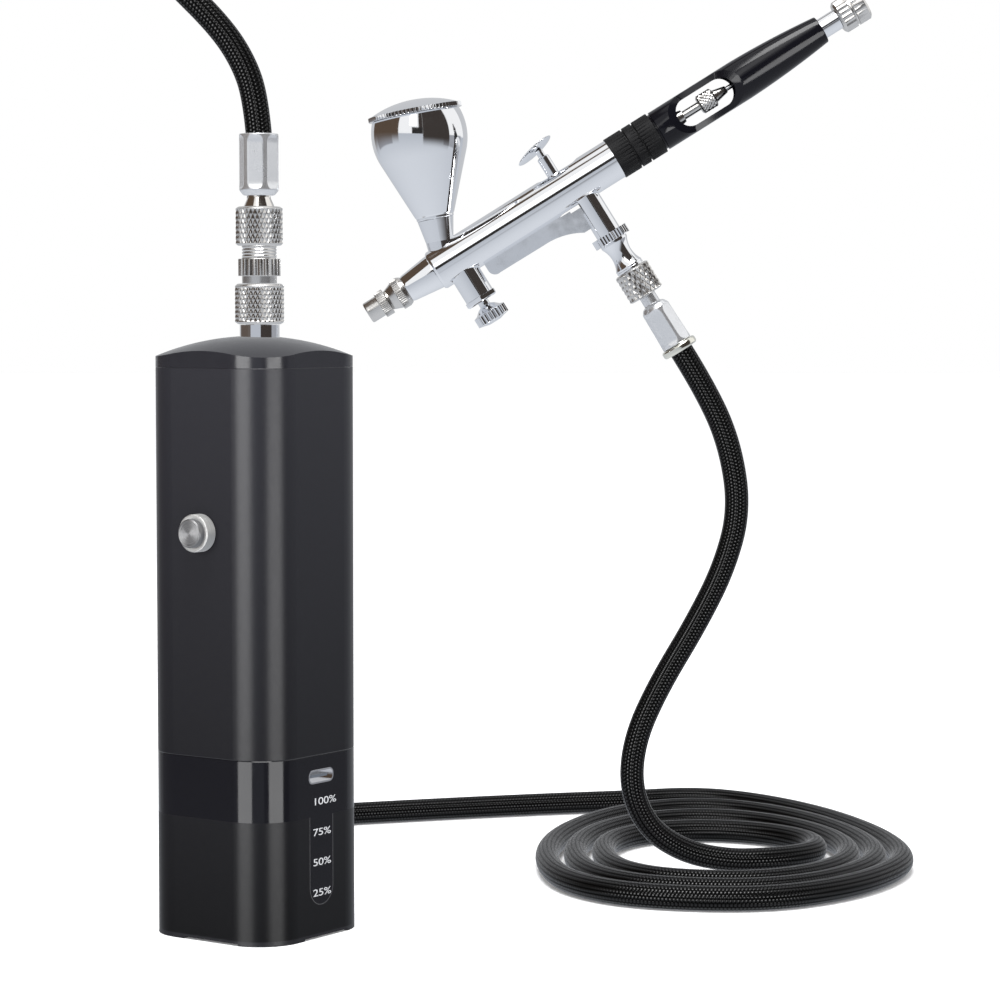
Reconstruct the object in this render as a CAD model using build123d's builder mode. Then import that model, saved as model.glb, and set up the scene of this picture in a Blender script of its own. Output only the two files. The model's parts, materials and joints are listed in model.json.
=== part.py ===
from build123d import *
import math
import os

# Handheld airbrush compressor: a rounded-square battery compressor, its braided hose and the
# gravity-feed airbrush at the end of the hose.  Millimetres, +Z up, origin on the floor under
# the middle of the compressor.

# --- compressor -------------------------------------------------------------------------
BODY_TURN = -35.0        # heading of the face with the charging socket, from +X
SIDE = 40.6              # width across two opposite flat faces
CORNER = 11.0            # radius of the vertical corners
WALL = 1.8
BASE_TOP = 1.2           # seams, from the floor up
COLLAR_BOTTOM = 30.0
COLLAR_TOP = 44.9
CAP_BOTTOM = 138.9
DOME_TOP = 146.4
DOME_RADIUS = 62.0
HALF = SIDE / 2
INSIDE = SIDE - 2 * WALL
INSIDE_CORNER = CORNER - WALL

ARCH_LENGTH = 17.0       # shallow arches between the four corner feet
ARCH_SHIFT = 2.0
ARCH_RISE = 0.5
ARCH_DEPTH = 3.0
SCREW_SPAN = 26.0        # base screws, centre to centre

TONGUE_WIDTH = 9.0       # level window, a tongue of the collar
TONGUE_END = 8.2
TONGUE_THICK = 0.9
FIT = 0.05               # gap at a close fit, each side

SOCKET_HEIGHT = 39.7     # charging socket
SOCKET_WIDTH = 9.6
SOCKET_TALL = 3.3
SOCKET_DEPTH = 7.3

BUTTON_HEIGHT = 99.3
BEZEL_RADIUS = 4.45
BEZEL_OUT = 3.0
BUTTON_RADIUS = 3.35
BUTTON_OUT = 4.7

# --- outlet fittings --------------------------------------------------------------------
OUTLET_X = 1.3           # the outlet stands a little off the middle
FERRULE_TOP = 195.6

# --- drive inside the compressor --------------------------------------------------------
MOTOR_X = -5.0
MOTOR_Y = 4.0
MOTOR_RADIUS = 12.0
CRANK_THROW = 1.6
PISTON_HEIGHT = 92.0

# --- airbrush ---------------------------------------------------------------------------
BRUSH_TIP = (24.5, 80.0, 151.5)
BRUSH_PITCH = 32.0       # the airbrush points down to the left at this slope
CUP_LEAN = 21.1          # cup axis, leaning back from square to the body
CUP_SEAM = (28.9, 11.8)  # seam between cup and neck: along the body, above its axis
CONTROL_STATION = 28.0   # stations along the airbrush axis, from its tip
TRIGGER_STATION = 62.1
VALVE_STATION = 66.4
BODY_RADIUS = 5.6
HANDLE_RADIUS = 5.65
NEEDLE_RADIUS = 0.65

# --- hose -------------------------------------------------------------------------------
HOSE = 6.4               # outside diameter
FLOOR_LINE = HOSE / 2 + 0.05   # height of the hose's middle where it lies on the floor
# the coil's outline and its hole: widest place, half width, reach to the front and to the back
COIL_OUTLINE = ((121.6, 84.0), 52.6, 67.0, 107.9)
COIL_HOLE = ((118.8, 93.0), 27.5, 46.0, 30.8)

# The hose's route is a list of corners; the hose rounds each of them.  First stretch: out of
# the outlet ferrule, up and over behind the compressor, down to the floor and to the coil.
SUPPLY_ROUTE = [
    (1.3, 0.0, 195.6),
    (0.5, 0.0, 204.6),
    (-2.4, 0.0, 213.1),
    (-7.9, 0.0, 221.5),
    (-19.2, 0.0, 232.8),
    (-31.0, 6.7, 244.6),
    (-41.9, 21.6, 255.5),
    (-47.4, 41.0, 261.0),
    (-47.2, 60.4, 260.8),
    (-39.6, 75.0, 253.2),
    (-27.5, 82.0, 241.1),
    (-15.0, 82.2, 228.5),
    (-8.9, 82.2, 219.2),
    (-5.7, 82.0, 209.8),
    (-4.9, 82.0, 199.9),
    (-4.9, 82.3, 182.0),
    (-5.2, 82.2, 152.0),
    (-6.6, 82.6, 104.0),
    (-8.4, 83.0, 62.0),
    (-9.4, 84.0, 33.5),
    (-9.9, 89.7, 19.6),
    (-10.4, 100.2, 9.0),
    (-10.8, 114.0, FLOOR_LINE),
    (-10.2, 129.4, FLOOR_LINE),
    (-3.4, 143.8, FLOOR_LINE),
    (9.0, 154.2, FLOOR_LINE),
    (28.0, 160.9, FLOOR_LINE),
    (52.0, 168.9, FLOOR_LINE),
    (78.0, 176.3, FLOOR_LINE),
    (97.0, 180.5, FLOOR_LINE),
]
# Second stretch: from the inside of the coil up to the airbrush.
RISER_ROUTE = [
    (147.8, 92.3, FLOOR_LINE),
    (141.7, 83.9, FLOOR_LINE),
    (132.6, 78.6, FLOOR_LINE),
    (122.2, 77.4, FLOOR_LINE),
    (110.6, 76.4, 5.6),
    (100.4, 73.8, 12.3),
    (95.2, 72.4, 23.6),
    (96.4, 72.6, 37.2),
    (103.0, 73.8, 51.6),
    (113.1, 76.6, 68.0),
    (120.8, 79.0, 83.0),
    (124.9, 80.0, 98.5),
    (122.4, 80.0, 115.4),
    (116.421, 80.0, 129.697),
]


def body_direction(degrees):
    """Horizontal unit vector, turned with the compressor's body."""
    angle = math.radians(BODY_TURN + degrees)
    return Vector(math.cos(angle), math.sin(angle), 0)


FACE_RIGHT = body_direction(0)     # outward from the face with the socket
FACE_LEFT = body_direction(-90)    # outward from the face with the button
UP = Vector(0, 0, 1)


def level(height):
    """Horizontal plane, turned with the compressor's body."""
    return Plane(origin=(0, 0, height), x_dir=FACE_RIGHT, z_dir=UP)


def face_plane(outward, height, distance=HALF):
    """Plane on one of the body's faces: y up, z outward."""
    origin = outward * distance + UP * height
    return Plane(origin=origin, x_dir=UP.cross(outward), z_dir=outward)


def lathe(origin, direction, side=(0, -1, 0)):
    """Plane whose y axis is a turning axis."""
    return Plane(origin=origin, x_dir=Vector(direction).cross(Vector(side)), z_dir=side)


def outline(plane, corners):
    """Closed face with straight edges, drawn on plane."""
    with BuildSketch(plane) as drawn:
        with BuildLine():
            Polyline(*corners, close=True)
        make_face()
    return drawn.sketch


def section(plane, steps, bore=0.0):
    """Half section of a turned piece: (height, radius) steps outside, one bore radius inside."""
    corners = [(bore, steps[0][0])] + [(radius, height) for height, radius in steps]
    corners.append((bore, steps[-1][0]))
    return outline(plane, corners)


def turning_axis(plane):
    return Axis(plane.origin, plane.y_dir)


def rounded_square(plane, width, corner):
    """Rounded square drawn on plane."""
    with BuildSketch(plane) as drawn:
        RectangleRounded(width, width, corner)
    return drawn.sketch


def hose_path(corners):
    """Straight runs joined by tangent arcs, and the radii of the arcs."""
    points = [Vector(*corner) for corner in corners]
    radii = []
    for before, here, after in zip(points, points[1:], points[2:]):
        run_in = here - before
        run_out = after - here
        shorter = min(run_in.length, run_out.length)
        half_turn = math.radians(run_in.get_angle(run_out)) / 2
        radii.append(0.45 * shorter / math.tan(half_turn))
    return points, radii


def spring(plane, radius, wire, bottom, top, turns):
    """Round-wire compression spring about the plane's y axis."""
    start = plane.from_local_coords((0, bottom, 0))
    with BuildPart() as coil:
        with BuildLine() as path:
            Helix(
                pitch=(top - bottom) / turns,
                height=top - bottom,
                radius=radius,
                center=start,
                direction=plane.y_dir,
            )
        with BuildSketch(Plane(origin=path.line @ 0, z_dir=path.line % 0)):
            Circle(wire / 2)
        sweep(is_frenet=True)
    return coil.part


os.makedirs("parts", exist_ok=True)

# =========================================================================================
# Compressor shell
# =========================================================================================

with BuildPart() as base_plate:
    extrude(rounded_square(level(0), SIDE, CORNER), amount=BASE_TOP)
    extrude(rounded_square(level(BASE_TOP), INSIDE - 0.2, INSIDE_CORNER - 0.1), amount=2.0)
    with BuildSketch(level(0)) as arches:
        with PolarLocations(HALF - ARCH_DEPTH / 2, 4):
            with Locations((0, ARCH_SHIFT)):
                Rectangle(ARCH_DEPTH, ARCH_LENGTH)
    extrude(amount=ARCH_RISE, mode=Mode.SUBTRACT)
    with Locations(level(0)):
        with GridLocations(SCREW_SPAN, SCREW_SPAN, 2, 2):
            Cylinder(1.05, 8.0, mode=Mode.SUBTRACT)
            Cylinder(2.1, 1.2, align=(Align.CENTER, Align.CENTER, Align.MIN), mode=Mode.SUBTRACT)
base_plate.part.label = "base_plate"
export_step(base_plate.part, "parts/base_plate.step")

with BuildPart() as base_screws:
    with Locations(level(0.2)):
        with GridLocations(SCREW_SPAN, SCREW_SPAN, 2, 2):
            Cylinder(1.9, 1.0, align=(Align.CENTER, Align.CENTER, Align.MIN))
            Cylinder(0.95, 6.6, align=(Align.CENTER, Align.CENTER, Align.MIN))
            Cylinder(0.5, 0.5, align=(Align.CENTER, Align.CENTER, Align.MIN), mode=Mode.SUBTRACT)
base_screws.part.label = "base_screws"
export_step(base_screws.part, "parts/base_screws.step")

TONGUE_DROP = COLLAR_BOTTOM - TONGUE_END


SEAM_BREAK = 0.15       # bevel along the shells' seams


def break_edge(face):
    """Small bevel round the outside of a shell's end face, in the open BuildPart."""
    chamfer(face.outer_wire().edges(), SEAM_BREAK)


def egg(centre, half_width, front, back):
    """Closed line of two half ellipses, in the open BuildLine."""
    EllipticalCenterArc(centre, half_width, back, start_angle=0, arc_size=180)
    EllipticalCenterArc(centre, half_width, front, start_angle=180, arc_size=180)


def tongue_shape(extra):
    """Long rounded tongue under the collar, drawn on the face with the socket."""
    radius = TONGUE_WIDTH / 2 + extra
    end_centre = TONGUE_END + TONGUE_WIDTH / 2
    with BuildSketch(face_plane(FACE_RIGHT, 0)) as drawn:
        with Locations((0, (COLLAR_BOTTOM + end_centre) / 2)):
            Rectangle(2 * radius, COLLAR_BOTTOM - end_centre)
        with Locations((0, end_centre)):
            Circle(radius)
    return drawn.sketch


with BuildPart() as battery_housing:
    extrude(rounded_square(level(BASE_TOP), SIDE, CORNER), amount=COLLAR_BOTTOM - BASE_TOP)
    extrude(
        rounded_square(level(BASE_TOP), INSIDE, INSIDE_CORNER),
        amount=COLLAR_BOTTOM - BASE_TOP,
        mode=Mode.SUBTRACT,
    )
    extrude(tongue_shape(FIT), amount=-(TONGUE_THICK + FIT), mode=Mode.SUBTRACT)
    with Locations(level(BASE_TOP + 2.0)):
        with GridLocations(SCREW_SPAN, SCREW_SPAN, 2, 2):
            Cylinder(2.6, 4.0, align=(Align.CENTER, Align.CENTER, Align.MIN))
            Cylinder(1.0, 4.0, align=(Align.CENTER, Align.CENTER, Align.MIN), mode=Mode.SUBTRACT)
    with Locations(level(BASE_TOP + 2.0)):
        with PolarLocations(SCREW_SPAN / math.sqrt(2) + 2.9, 4, start_angle=45):
            Box(2.6, 1.2, 4.0, align=(Align.CENTER, Align.CENTER, Align.MIN))
battery_housing.part.label = "battery_housing"
export_step(battery_housing.part, "parts/battery_housing.step")

with BuildPart() as battery_collar:
    extrude(rounded_square(level(COLLAR_BOTTOM), SIDE, CORNER), amount=COLLAR_TOP - COLLAR_BOTTOM)
    extrude(
        rounded_square(level(COLLAR_BOTTOM), INSIDE, INSIDE_CORNER),
        amount=COLLAR_TOP - COLLAR_BOTTOM,
        mode=Mode.SUBTRACT,
    )
    extrude(tongue_shape(0.0), amount=-TONGUE_THICK)
    with BuildSketch(face_plane(FACE_RIGHT, SOCKET_HEIGHT)):
        RectangleRounded(SOCKET_WIDTH + 2 * FIT, SOCKET_TALL + 2 * FIT, 1.5)
    extrude(amount=-2 * WALL, mode=Mode.SUBTRACT)
    break_edge(battery_collar.faces().sort_by(Axis.Z)[-1])
battery_collar.part.label = "battery_collar"
export_step(battery_collar.part, "parts/battery_collar.step")

with BuildPart() as body_sleeve:
    extrude(rounded_square(level(COLLAR_TOP), SIDE, CORNER), amount=CAP_BOTTOM - COLLAR_TOP)
    extrude(
        rounded_square(level(COLLAR_TOP), INSIDE, INSIDE_CORNER),
        amount=CAP_BOTTOM - COLLAR_TOP,
        mode=Mode.SUBTRACT,
    )
    with BuildSketch(face_plane(FACE_LEFT, BUTTON_HEIGHT)):
        Circle(3.7)
    extrude(amount=-2 * WALL, mode=Mode.SUBTRACT)
    break_edge(body_sleeve.faces().sort_by(Axis.Z)[0])
    break_edge(body_sleeve.faces().sort_by(Axis.Z)[-1])
body_sleeve.part.label = "body_sleeve"
export_step(body_sleeve.part, "parts/body_sleeve.step")

with BuildPart() as top_cap:
    extrude(rounded_square(level(CAP_BOTTOM), SIDE, CORNER), amount=12)
    with Locations((0, 0, DOME_TOP - DOME_RADIUS)):
        Sphere(DOME_RADIUS, mode=Mode.INTERSECT)
    with BuildPart(mode=Mode.PRIVATE) as cap_inside:
        extrude(rounded_square(level(CAP_BOTTOM), INSIDE, INSIDE_CORNER), amount=12)
        with Locations((0, 0, DOME_TOP - DOME_RADIUS)):
            Sphere(DOME_RADIUS - WALL, mode=Mode.INTERSECT)
    add(cap_inside.part, mode=Mode.SUBTRACT)
    with Locations((OUTLET_X, 0, DOME_TOP)):
        Cylinder(3.95, 12.0, mode=Mode.SUBTRACT)
        Cylinder(5.5, 0.8, align=(Align.CENTER, Align.CENTER, Align.CENTER), mode=Mode.SUBTRACT)
top_cap.part.label = "top_cap"
export_step(top_cap.part, "parts/top_cap.step")

# =========================================================================================
# Power button: bezel, button, return spring, switch
# =========================================================================================

BUTTON_PLANE = lathe(FACE_LEFT * HALF + UP * BUTTON_HEIGHT, FACE_LEFT, side=(0, 0, 1))
BUTTON_AXIS = turning_axis(BUTTON_PLANE)

with BuildPart() as button_bezel:
    revolve(section(BUTTON_PLANE, [(0.0, BEZEL_RADIUS), (BEZEL_OUT, BEZEL_RADIUS)], 3.45), BUTTON_AXIS)
    revolve(section(BUTTON_PLANE, [(-3.4, 3.65), (0.0, 3.65)], 3.45), BUTTON_AXIS)
    revolve(section(BUTTON_PLANE, [(-3.4, 3.5), (-2.6, 3.5)], 1.6), BUTTON_AXIS)
button_bezel.part.label = "button_bezel"
export_step(button_bezel.part, "parts/button_bezel.step")

with BuildPart() as power_button:
    revolve(section(BUTTON_PLANE, [(0.2, BUTTON_RADIUS), (BUTTON_OUT, BUTTON_RADIUS)]), BUTTON_AXIS)
    revolve(section(BUTTON_PLANE, [(-4.4, 1.5), (0.2, 1.5)]), BUTTON_AXIS)
power_button.part.label = "power_button"
export_step(power_button.part, "parts/power_button.step")

button_spring = spring(BUTTON_PLANE, 2.3, 0.4, -2.35, -0.1, 2.5)
button_spring.label = "button_spring"
export_step(button_spring, "parts/button_spring.step")

with BuildPart() as button_switch:
    with BuildSketch(face_plane(FACE_LEFT, BUTTON_HEIGHT, HALF - 8.0)):
        RectangleRounded(6.0, 6.0, 0.5)
    extrude(amount=1.7)
    with BuildSketch(face_plane(FACE_LEFT, BUTTON_HEIGHT, HALF - 6.3)):
        Circle(1.6)
    extrude(amount=0.5)
button_switch.part.label = "button_switch"
export_step(button_switch.part, "parts/button_switch.step")

# =========================================================================================
# Charging socket
# =========================================================================================

with BuildPart() as usb_shell:
    with BuildSketch(face_plane(FACE_RIGHT, SOCKET_HEIGHT)):
        RectangleRounded(SOCKET_WIDTH, SOCKET_TALL, 1.45)
    extrude(amount=-SOCKET_DEPTH)
    with BuildSketch(face_plane(FACE_RIGHT, SOCKET_HEIGHT)):
        RectangleRounded(SOCKET_WIDTH - 0.7, SOCKET_TALL - 0.7, 1.1)
    extrude(amount=-(SOCKET_DEPTH - 0.6), mode=Mode.SUBTRACT)
usb_shell.part.label = "usb_shell"
export_step(usb_shell.part, "parts/usb_shell.step")

with BuildPart() as usb_tongue:
    with BuildSketch(face_plane(FACE_RIGHT, SOCKET_HEIGHT, HALF - SOCKET_DEPTH + 0.6)):
        Rectangle(6.7, 0.7)
    extrude(amount=SOCKET_DEPTH - 1.4)
usb_tongue.part.label = "usb_tongue"
export_step(usb_tongue.part, "parts/usb_tongue.step")

# =========================================================================================
# Inside the compressor: cells, boards, motor, pump
# =========================================================================================

with BuildPart() as battery_cells:
    with Locations(level(7.6)):
        with Locations((-8.0, 9.8), (7.2, 9.8)):
            Cylinder(7.0, 34.0, align=(Align.CENTER, Align.CENTER, Align.MIN))
battery_cells.part.label = "battery_cells"
export_step(battery_cells.part, "parts/battery_cells.step")

with BuildPart() as level_board:
    with BuildSketch(face_plane(FACE_RIGHT, 22.5, HALF - WALL - 1.2)):
        Rectangle(8.0, 28.0)
    extrude(amount=0.8)
    with BuildSketch(face_plane(FACE_RIGHT, 22.5, HALF - WALL - 0.4)):
        with GridLocations(0, 7.4, 1, 4):
            Rectangle(2.0, 1.2)
    extrude(amount=0.35)
level_board.part.label = "level_board"
export_step(level_board.part, "parts/level_board.step")

with BuildPart() as main_board:
    with BuildSketch(face_plane(FACE_LEFT, 83.0, HALF - 9.2)):
        Rectangle(30.0, 70.0)
    extrude(amount=1.2)
    with BuildSketch(face_plane(FACE_LEFT, 83.0, HALF - 8.0)):
        with Locations((-6, -18), (7, -22), (0, 27)):
            Rectangle(7.0, 7.0)
    extrude(amount=1.6)
main_board.part.label = "main_board"
export_step(main_board.part, "parts/main_board.step")

with BuildPart() as chassis:
    with BuildSketch(level(79.0)):
        with Locations((0, 3.7)):
            RectangleRounded(34.0, 28.0, 6.0)
        with Locations((MOTOR_X, MOTOR_Y)):
            Circle(3.4, mode=Mode.SUBTRACT)
    extrude(amount=2.5)
chassis.part.label = "chassis"
export_step(chassis.part, "parts/chassis.step")

with BuildPart() as motor:
    with Locations(level(47.0)):
        with Locations((MOTOR_X, MOTOR_Y)):
            Cylinder(MOTOR_RADIUS, 32.0, align=(Align.CENTER, Align.CENTER, Align.MIN))
            Cylinder(1.6, 32.0, align=(Align.CENTER, Align.CENTER, Align.MIN), mode=Mode.SUBTRACT)
motor.part.label = "motor"
export_step(motor.part, "parts/motor.step")

with BuildPart() as motor_shaft:
    with Locations(level(50.0)):
        with Locations((MOTOR_X, MOTOR_Y)):
            Cylinder(1.5, 35.0, align=(Align.CENTER, Align.CENTER, Align.MIN))
    with Locations(level(83.5)):
        with Locations((MOTOR_X, MOTOR_Y)):
            Cylinder(4.6, 3.0, align=(Align.CENTER, Align.CENTER, Align.MIN))
    with Locations(level(86.5)):
        with Locations((MOTOR_X + CRANK_THROW, MOTOR_Y)):
            Cylinder(1.5, 8.5, align=(Align.CENTER, Align.CENTER, Align.MIN))
motor_shaft.part.label = "motor_shaft"
export_step(motor_shaft.part, "parts/motor_shaft.step")

PUMP_BORE = 6.1
PUMP_PLANE = face_plane(FACE_RIGHT, PISTON_HEIGHT, 3.5)
# on this plane, x runs along the compressor's own y
with BuildPart() as pump_housing:
    with BuildSketch(PUMP_PLANE):
        with Locations((MOTOR_Y, 0)):
            Circle(8.0)
        with Locations((MOTOR_Y, -7.0)):
            Rectangle(14.0, 7.0)
    extrude(amount=14.0)
    with BuildSketch(PUMP_PLANE):
        with Locations((MOTOR_Y, 0)):
            Circle(PUMP_BORE)
    extrude(amount=11.5, mode=Mode.SUBTRACT)
    with Locations(level(99.0)):
        with Locations((12.5, MOTOR_Y)):
            Cylinder(1.7, 6.0, align=(Align.CENTER, Align.CENTER, Align.MIN))
pump_housing.part.label = "pump_housing"
export_step(pump_housing.part, "parts/pump_housing.step")

with BuildPart() as piston:
    with BuildSketch(face_plane(FACE_RIGHT, PISTON_HEIGHT, 7.5)):
        with Locations((MOTOR_Y, 0)):
            Circle(PUMP_BORE - 0.08)
    extrude(amount=4.0)
piston.part.label = "piston"
export_step(piston.part, "parts/piston.step")

with BuildPart() as connecting_rod:
    with Locations(level(90.0)):
        with Locations((MOTOR_X, MOTOR_Y)):
            Box(14.0, 11.0, 4.0, align=(Align.CENTER, Align.CENTER, Align.MIN))
        with Locations((4.7, MOTOR_Y)):
            Box(5.6, 4.0, 4.0, align=(Align.CENTER, Align.CENTER, Align.MIN))
        with Locations((MOTOR_X, MOTOR_Y)):
            Box(10.8, 7.6, 4.0, align=(Align.CENTER, Align.CENTER, Align.MIN), mode=Mode.SUBTRACT)
connecting_rod.part.label = "connecting_rod"
export_step(connecting_rod.part, "parts/connecting_rod.step")

TUBE_ROUTE = [
    level(105.0).from_local_coords((12.5, MOTOR_Y, 0)),
    level(116.0).from_local_coords((12.0, MOTOR_Y, 0)),
    level(127.0).from_local_coords((5.0, 1.6, 0)),
    Vector(OUTLET_X, 0, 134.5),
]
with BuildPart() as air_tube:
    with BuildLine() as tube_line:
        FilletPolyline(*TUBE_ROUTE, radius=[9.0, 9.0])
    with BuildSketch(Plane(origin=tube_line.line @ 0, z_dir=tube_line.line % 0)):
        Circle(1.9)
    sweep()
air_tube.part.label = "air_tube"
export_step(air_tube.part, "parts/air_tube.step")

# =========================================================================================
# Outlet fittings, from the dome up
# =========================================================================================

OUTLET_PLANE = lathe((OUTLET_X, 0, 0), UP)
OUTLET_AXIS = turning_axis(OUTLET_PLANE)

with BuildPart() as outlet_stem:
    stem_steps = [(134.5, 1.9), (140.0, 1.9), (140.0, 3.85), (146.0, 3.85), (146.0, 4.85)]
    stem_steps += [(149.1, 4.85), (149.1, 2.9), (157.5, 2.9)]
    revolve(section(OUTLET_PLANE, stem_steps, 1.0), OUTLET_AXIS)
outlet_stem.part.label = "outlet_stem"
export_step(outlet_stem.part, "parts/outlet_stem.step")

with BuildPart() as outlet_seal:
    revolve(section(OUTLET_PLANE, [(142.7, 6.0), (143.9, 6.0)], 3.95), OUTLET_AXIS)
outlet_seal.part.label = "outlet_seal"
export_step(outlet_seal.part, "parts/outlet_seal.step")

with BuildPart() as coupling_nut:
    nut_steps = [(149.2, 5.2), (149.8, 6.0), (158.6, 6.0), (159.15, 5.5)]
    revolve(section(OUTLET_PLANE, nut_steps, 3.0), OUTLET_AXIS)
coupling_nut.part.label = "coupling_nut"
export_step(coupling_nut.part, "parts/coupling_nut.step")

with BuildPart() as coupling_adapter:
    adapter_steps = [(159.2, 4.25), (161.0, 4.25), (161.0, 5.15), (165.2, 5.15), (165.2, 4.3)]
    adapter_steps += [(168.35, 4.3), (168.35, 3.0), (172.0, 3.0)]
    revolve(section(OUTLET_PLANE, adapter_steps, 1.2), OUTLET_AXIS)
coupling_adapter.part.label = "coupling_adapter"
export_step(coupling_adapter.part, "parts/coupling_adapter.step")

with BuildPart() as hose_nut_outlet:
    hose_nut_steps = [(168.4, 5.35), (168.8, 5.75), (177.4, 5.75), (177.9, 5.2)]
    revolve(section(OUTLET_PLANE, hose_nut_steps, 3.1), OUTLET_AXIS)
hose_nut_outlet.part.label = "hose_nut_outlet"
export_step(hose_nut_outlet.part, "parts/hose_nut_outlet.step")

with BuildPart() as hose_tail_outlet:
    tail_steps = [(172.1, 3.0), (177.95, 3.0), (177.95, 3.75), (180.2, 2.75), (180.6, 2.75)]
    revolve(section(OUTLET_PLANE, tail_steps, 1.2), OUTLET_AXIS)
hose_tail_outlet.part.label = "hose_tail_outlet"
export_step(hose_tail_outlet.part, "parts/hose_tail_outlet.step")

with BuildPart() as ferrule_outlet:
    ferrule_steps = [(180.6, 4.1), (182.0, 4.8), (FERRULE_TOP, 4.8)]
    revolve(section(OUTLET_PLANE, ferrule_steps, 1.2), OUTLET_AXIS)
ferrule_outlet.part.label = "ferrule_outlet"
export_step(ferrule_outlet.part, "parts/ferrule_outlet.step")

# =========================================================================================
# Airbrush
# =========================================================================================

PITCH = math.radians(BRUSH_PITCH)
ALONG = Vector(math.cos(PITCH), 0, math.sin(PITCH))     # from the tip to the handle
SQUARE = Vector(-math.sin(PITCH), 0, math.cos(PITCH))   # from the body towards the trigger
BRUSH = Plane(origin=BRUSH_TIP, x_dir=ALONG, z_dir=(0, -1, 0))   # x along, y square to it
NEEDLE_PLANE = lathe(BRUSH_TIP, ALONG)
NEEDLE_AXIS = turning_axis(NEEDLE_PLANE)
LEAN = math.radians(CUP_LEAN)
CUP_DIRECTION = ALONG * math.sin(LEAN) + SQUARE * math.cos(LEAN)
CUP_PLANE = lathe(BRUSH.from_local_coords((*CUP_SEAM, 0)), CUP_DIRECTION)
CUP_AXIS = turning_axis(CUP_PLANE)
CONTROL_PLANE = lathe(BRUSH.from_local_coords((CONTROL_STATION, 0, 0)), SQUARE)
CONTROL_AXIS = turning_axis(CONTROL_PLANE)
VALVE_PLANE = lathe(BRUSH.from_local_coords((VALVE_STATION, 0, 0)), SQUARE)
VALVE_AXIS = turning_axis(VALVE_PLANE)
TRIGGER_PLANE = lathe(BRUSH.from_local_coords((TRIGGER_STATION, 0, 0)), SQUARE)
TRIGGER_AXIS = turning_axis(TRIGGER_PLANE)

with BuildPart() as crown_cap:
    crown_steps = [(0.0, 2.75), (0.3, 2.95), (4.0, 2.95), (4.0, 3.65), (6.4, 3.65)]
    revolve(section(NEEDLE_PLANE, crown_steps, 2.1), NEEDLE_AXIS)
crown_cap.part.label = "crown_cap"
export_step(crown_cap.part, "parts/crown_cap.step")

with BuildPart() as nozzle_cap:
    cap_steps = [(6.5, 2.8), (9.2, 3.8), (9.2, 4.3), (12.2, 4.3)]
    revolve(section(NEEDLE_PLANE, cap_steps, 2.3), NEEDLE_AXIS)
nozzle_cap.part.label = "nozzle_cap"
export_step(nozzle_cap.part, "parts/nozzle_cap.step")

with BuildPart() as nozzle:
    with BuildSketch(NEEDLE_PLANE):
        with BuildLine():
            Polyline((0.3, 3.2), (0.5, 3.2), (1.8, 9.0), (1.8, 16.0), (1.0, 16.0), (1.0, 9.5), close=True)
        make_face()
    revolve(axis=NEEDLE_AXIS)
nozzle.part.label = "nozzle"
export_step(nozzle.part, "parts/nozzle.step")

with BuildPart() as airbrush_head:
    head_steps = [(12.2, 3.7), (13.0, 3.85), (20.9, 4.85), (21.3, 4.85)]
    revolve(section(NEEDLE_PLANE, head_steps, 1.9), NEEDLE_AXIS)
airbrush_head.part.label = "airbrush_head"
export_step(airbrush_head.part, "parts/airbrush_head.step")

with BuildPart() as airbrush_body:
    # barrel, cup neck, air control boss, air valve boss
    barrel_steps = [(21.3, 5.2), (21.9, BODY_RADIUS), (78.3, BODY_RADIUS)]
    revolve(section(NEEDLE_PLANE, barrel_steps), NEEDLE_AXIS)
    revolve(section(CUP_PLANE, [(-9.0, 3.5), (-6.0, 3.75), (0.0, 4.9)]), CUP_AXIS)
    revolve(section(CONTROL_PLANE, [(-12.0, 4.1), (0.0, 4.1)]), CONTROL_AXIS)
    revolve(section(VALVE_PLANE, [(-16.0, 3.5), (0.0, 3.5)]), VALVE_AXIS)
    # thin fin between the two bosses
    with BuildSketch(BRUSH):
        with BuildLine():
            Polyline((33.6, -4.0), (33.6, -7.4))
            ThreePointArc((33.6, -7.4), (34.3, -9.0), (36.2, -9.5))
            Line((36.2, -9.5), (50.0, -9.6))
            ThreePointArc((50.0, -9.6), (56.0, -10.3), (61.0, -12.5))
            Polyline((61.0, -12.5), (64.0, -12.5), (64.0, -4.0), (33.6, -4.0))
        make_face()
    extrude(amount=1.3, both=True)
    # needle bore, packing seat, spring case seat
    revolve(section(NEEDLE_PLANE, [(20.0, 0.95), (51.0, 0.95)]), NEEDLE_AXIS, mode=Mode.SUBTRACT)
    revolve(section(NEEDLE_PLANE, [(50.0, 1.6), (58.0, 1.6)]), NEEDLE_AXIS, mode=Mode.SUBTRACT)
    revolve(section(NEEDLE_PLANE, [(69.0, 3.6), (79.0, 3.6)]), NEEDLE_AXIS, mode=Mode.SUBTRACT)
    # paint feed, air control bore, air valve bore
    revolve(section(CUP_PLANE, [(-12.4, 1.8), (1.0, 1.8)]), CUP_AXIS, mode=Mode.SUBTRACT)
    revolve(section(CONTROL_PLANE, [(-13.0, 3.1), (-7.0, 3.1)]), CONTROL_AXIS, mode=Mode.SUBTRACT)
    revolve(section(VALVE_PLANE, [(-17.0, 2.6), (-4.0, 2.6)]), VALVE_AXIS, mode=Mode.SUBTRACT)
    # trigger well, with rounded ends where it opens on top
    with BuildSketch(Plane(origin=BRUSH.from_local_coords((63.4, 7.0, 0)), x_dir=ALONG, z_dir=SQUARE)):
        SlotOverall(12.4, 4.4)
    extrude(amount=-15.2, mode=Mode.SUBTRACT)
airbrush_body.part.label = "airbrush_body"
export_step(airbrush_body.part, "parts/airbrush_body.step")

with BuildPart() as needle_packing:
    revolve(section(NEEDLE_PLANE, [(51.1, 1.55), (54.0, 1.55)], NEEDLE_RADIUS + 0.05), NEEDLE_AXIS)
needle_packing.part.label = "needle_packing"
export_step(needle_packing.part, "parts/needle_packing.step")

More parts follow.
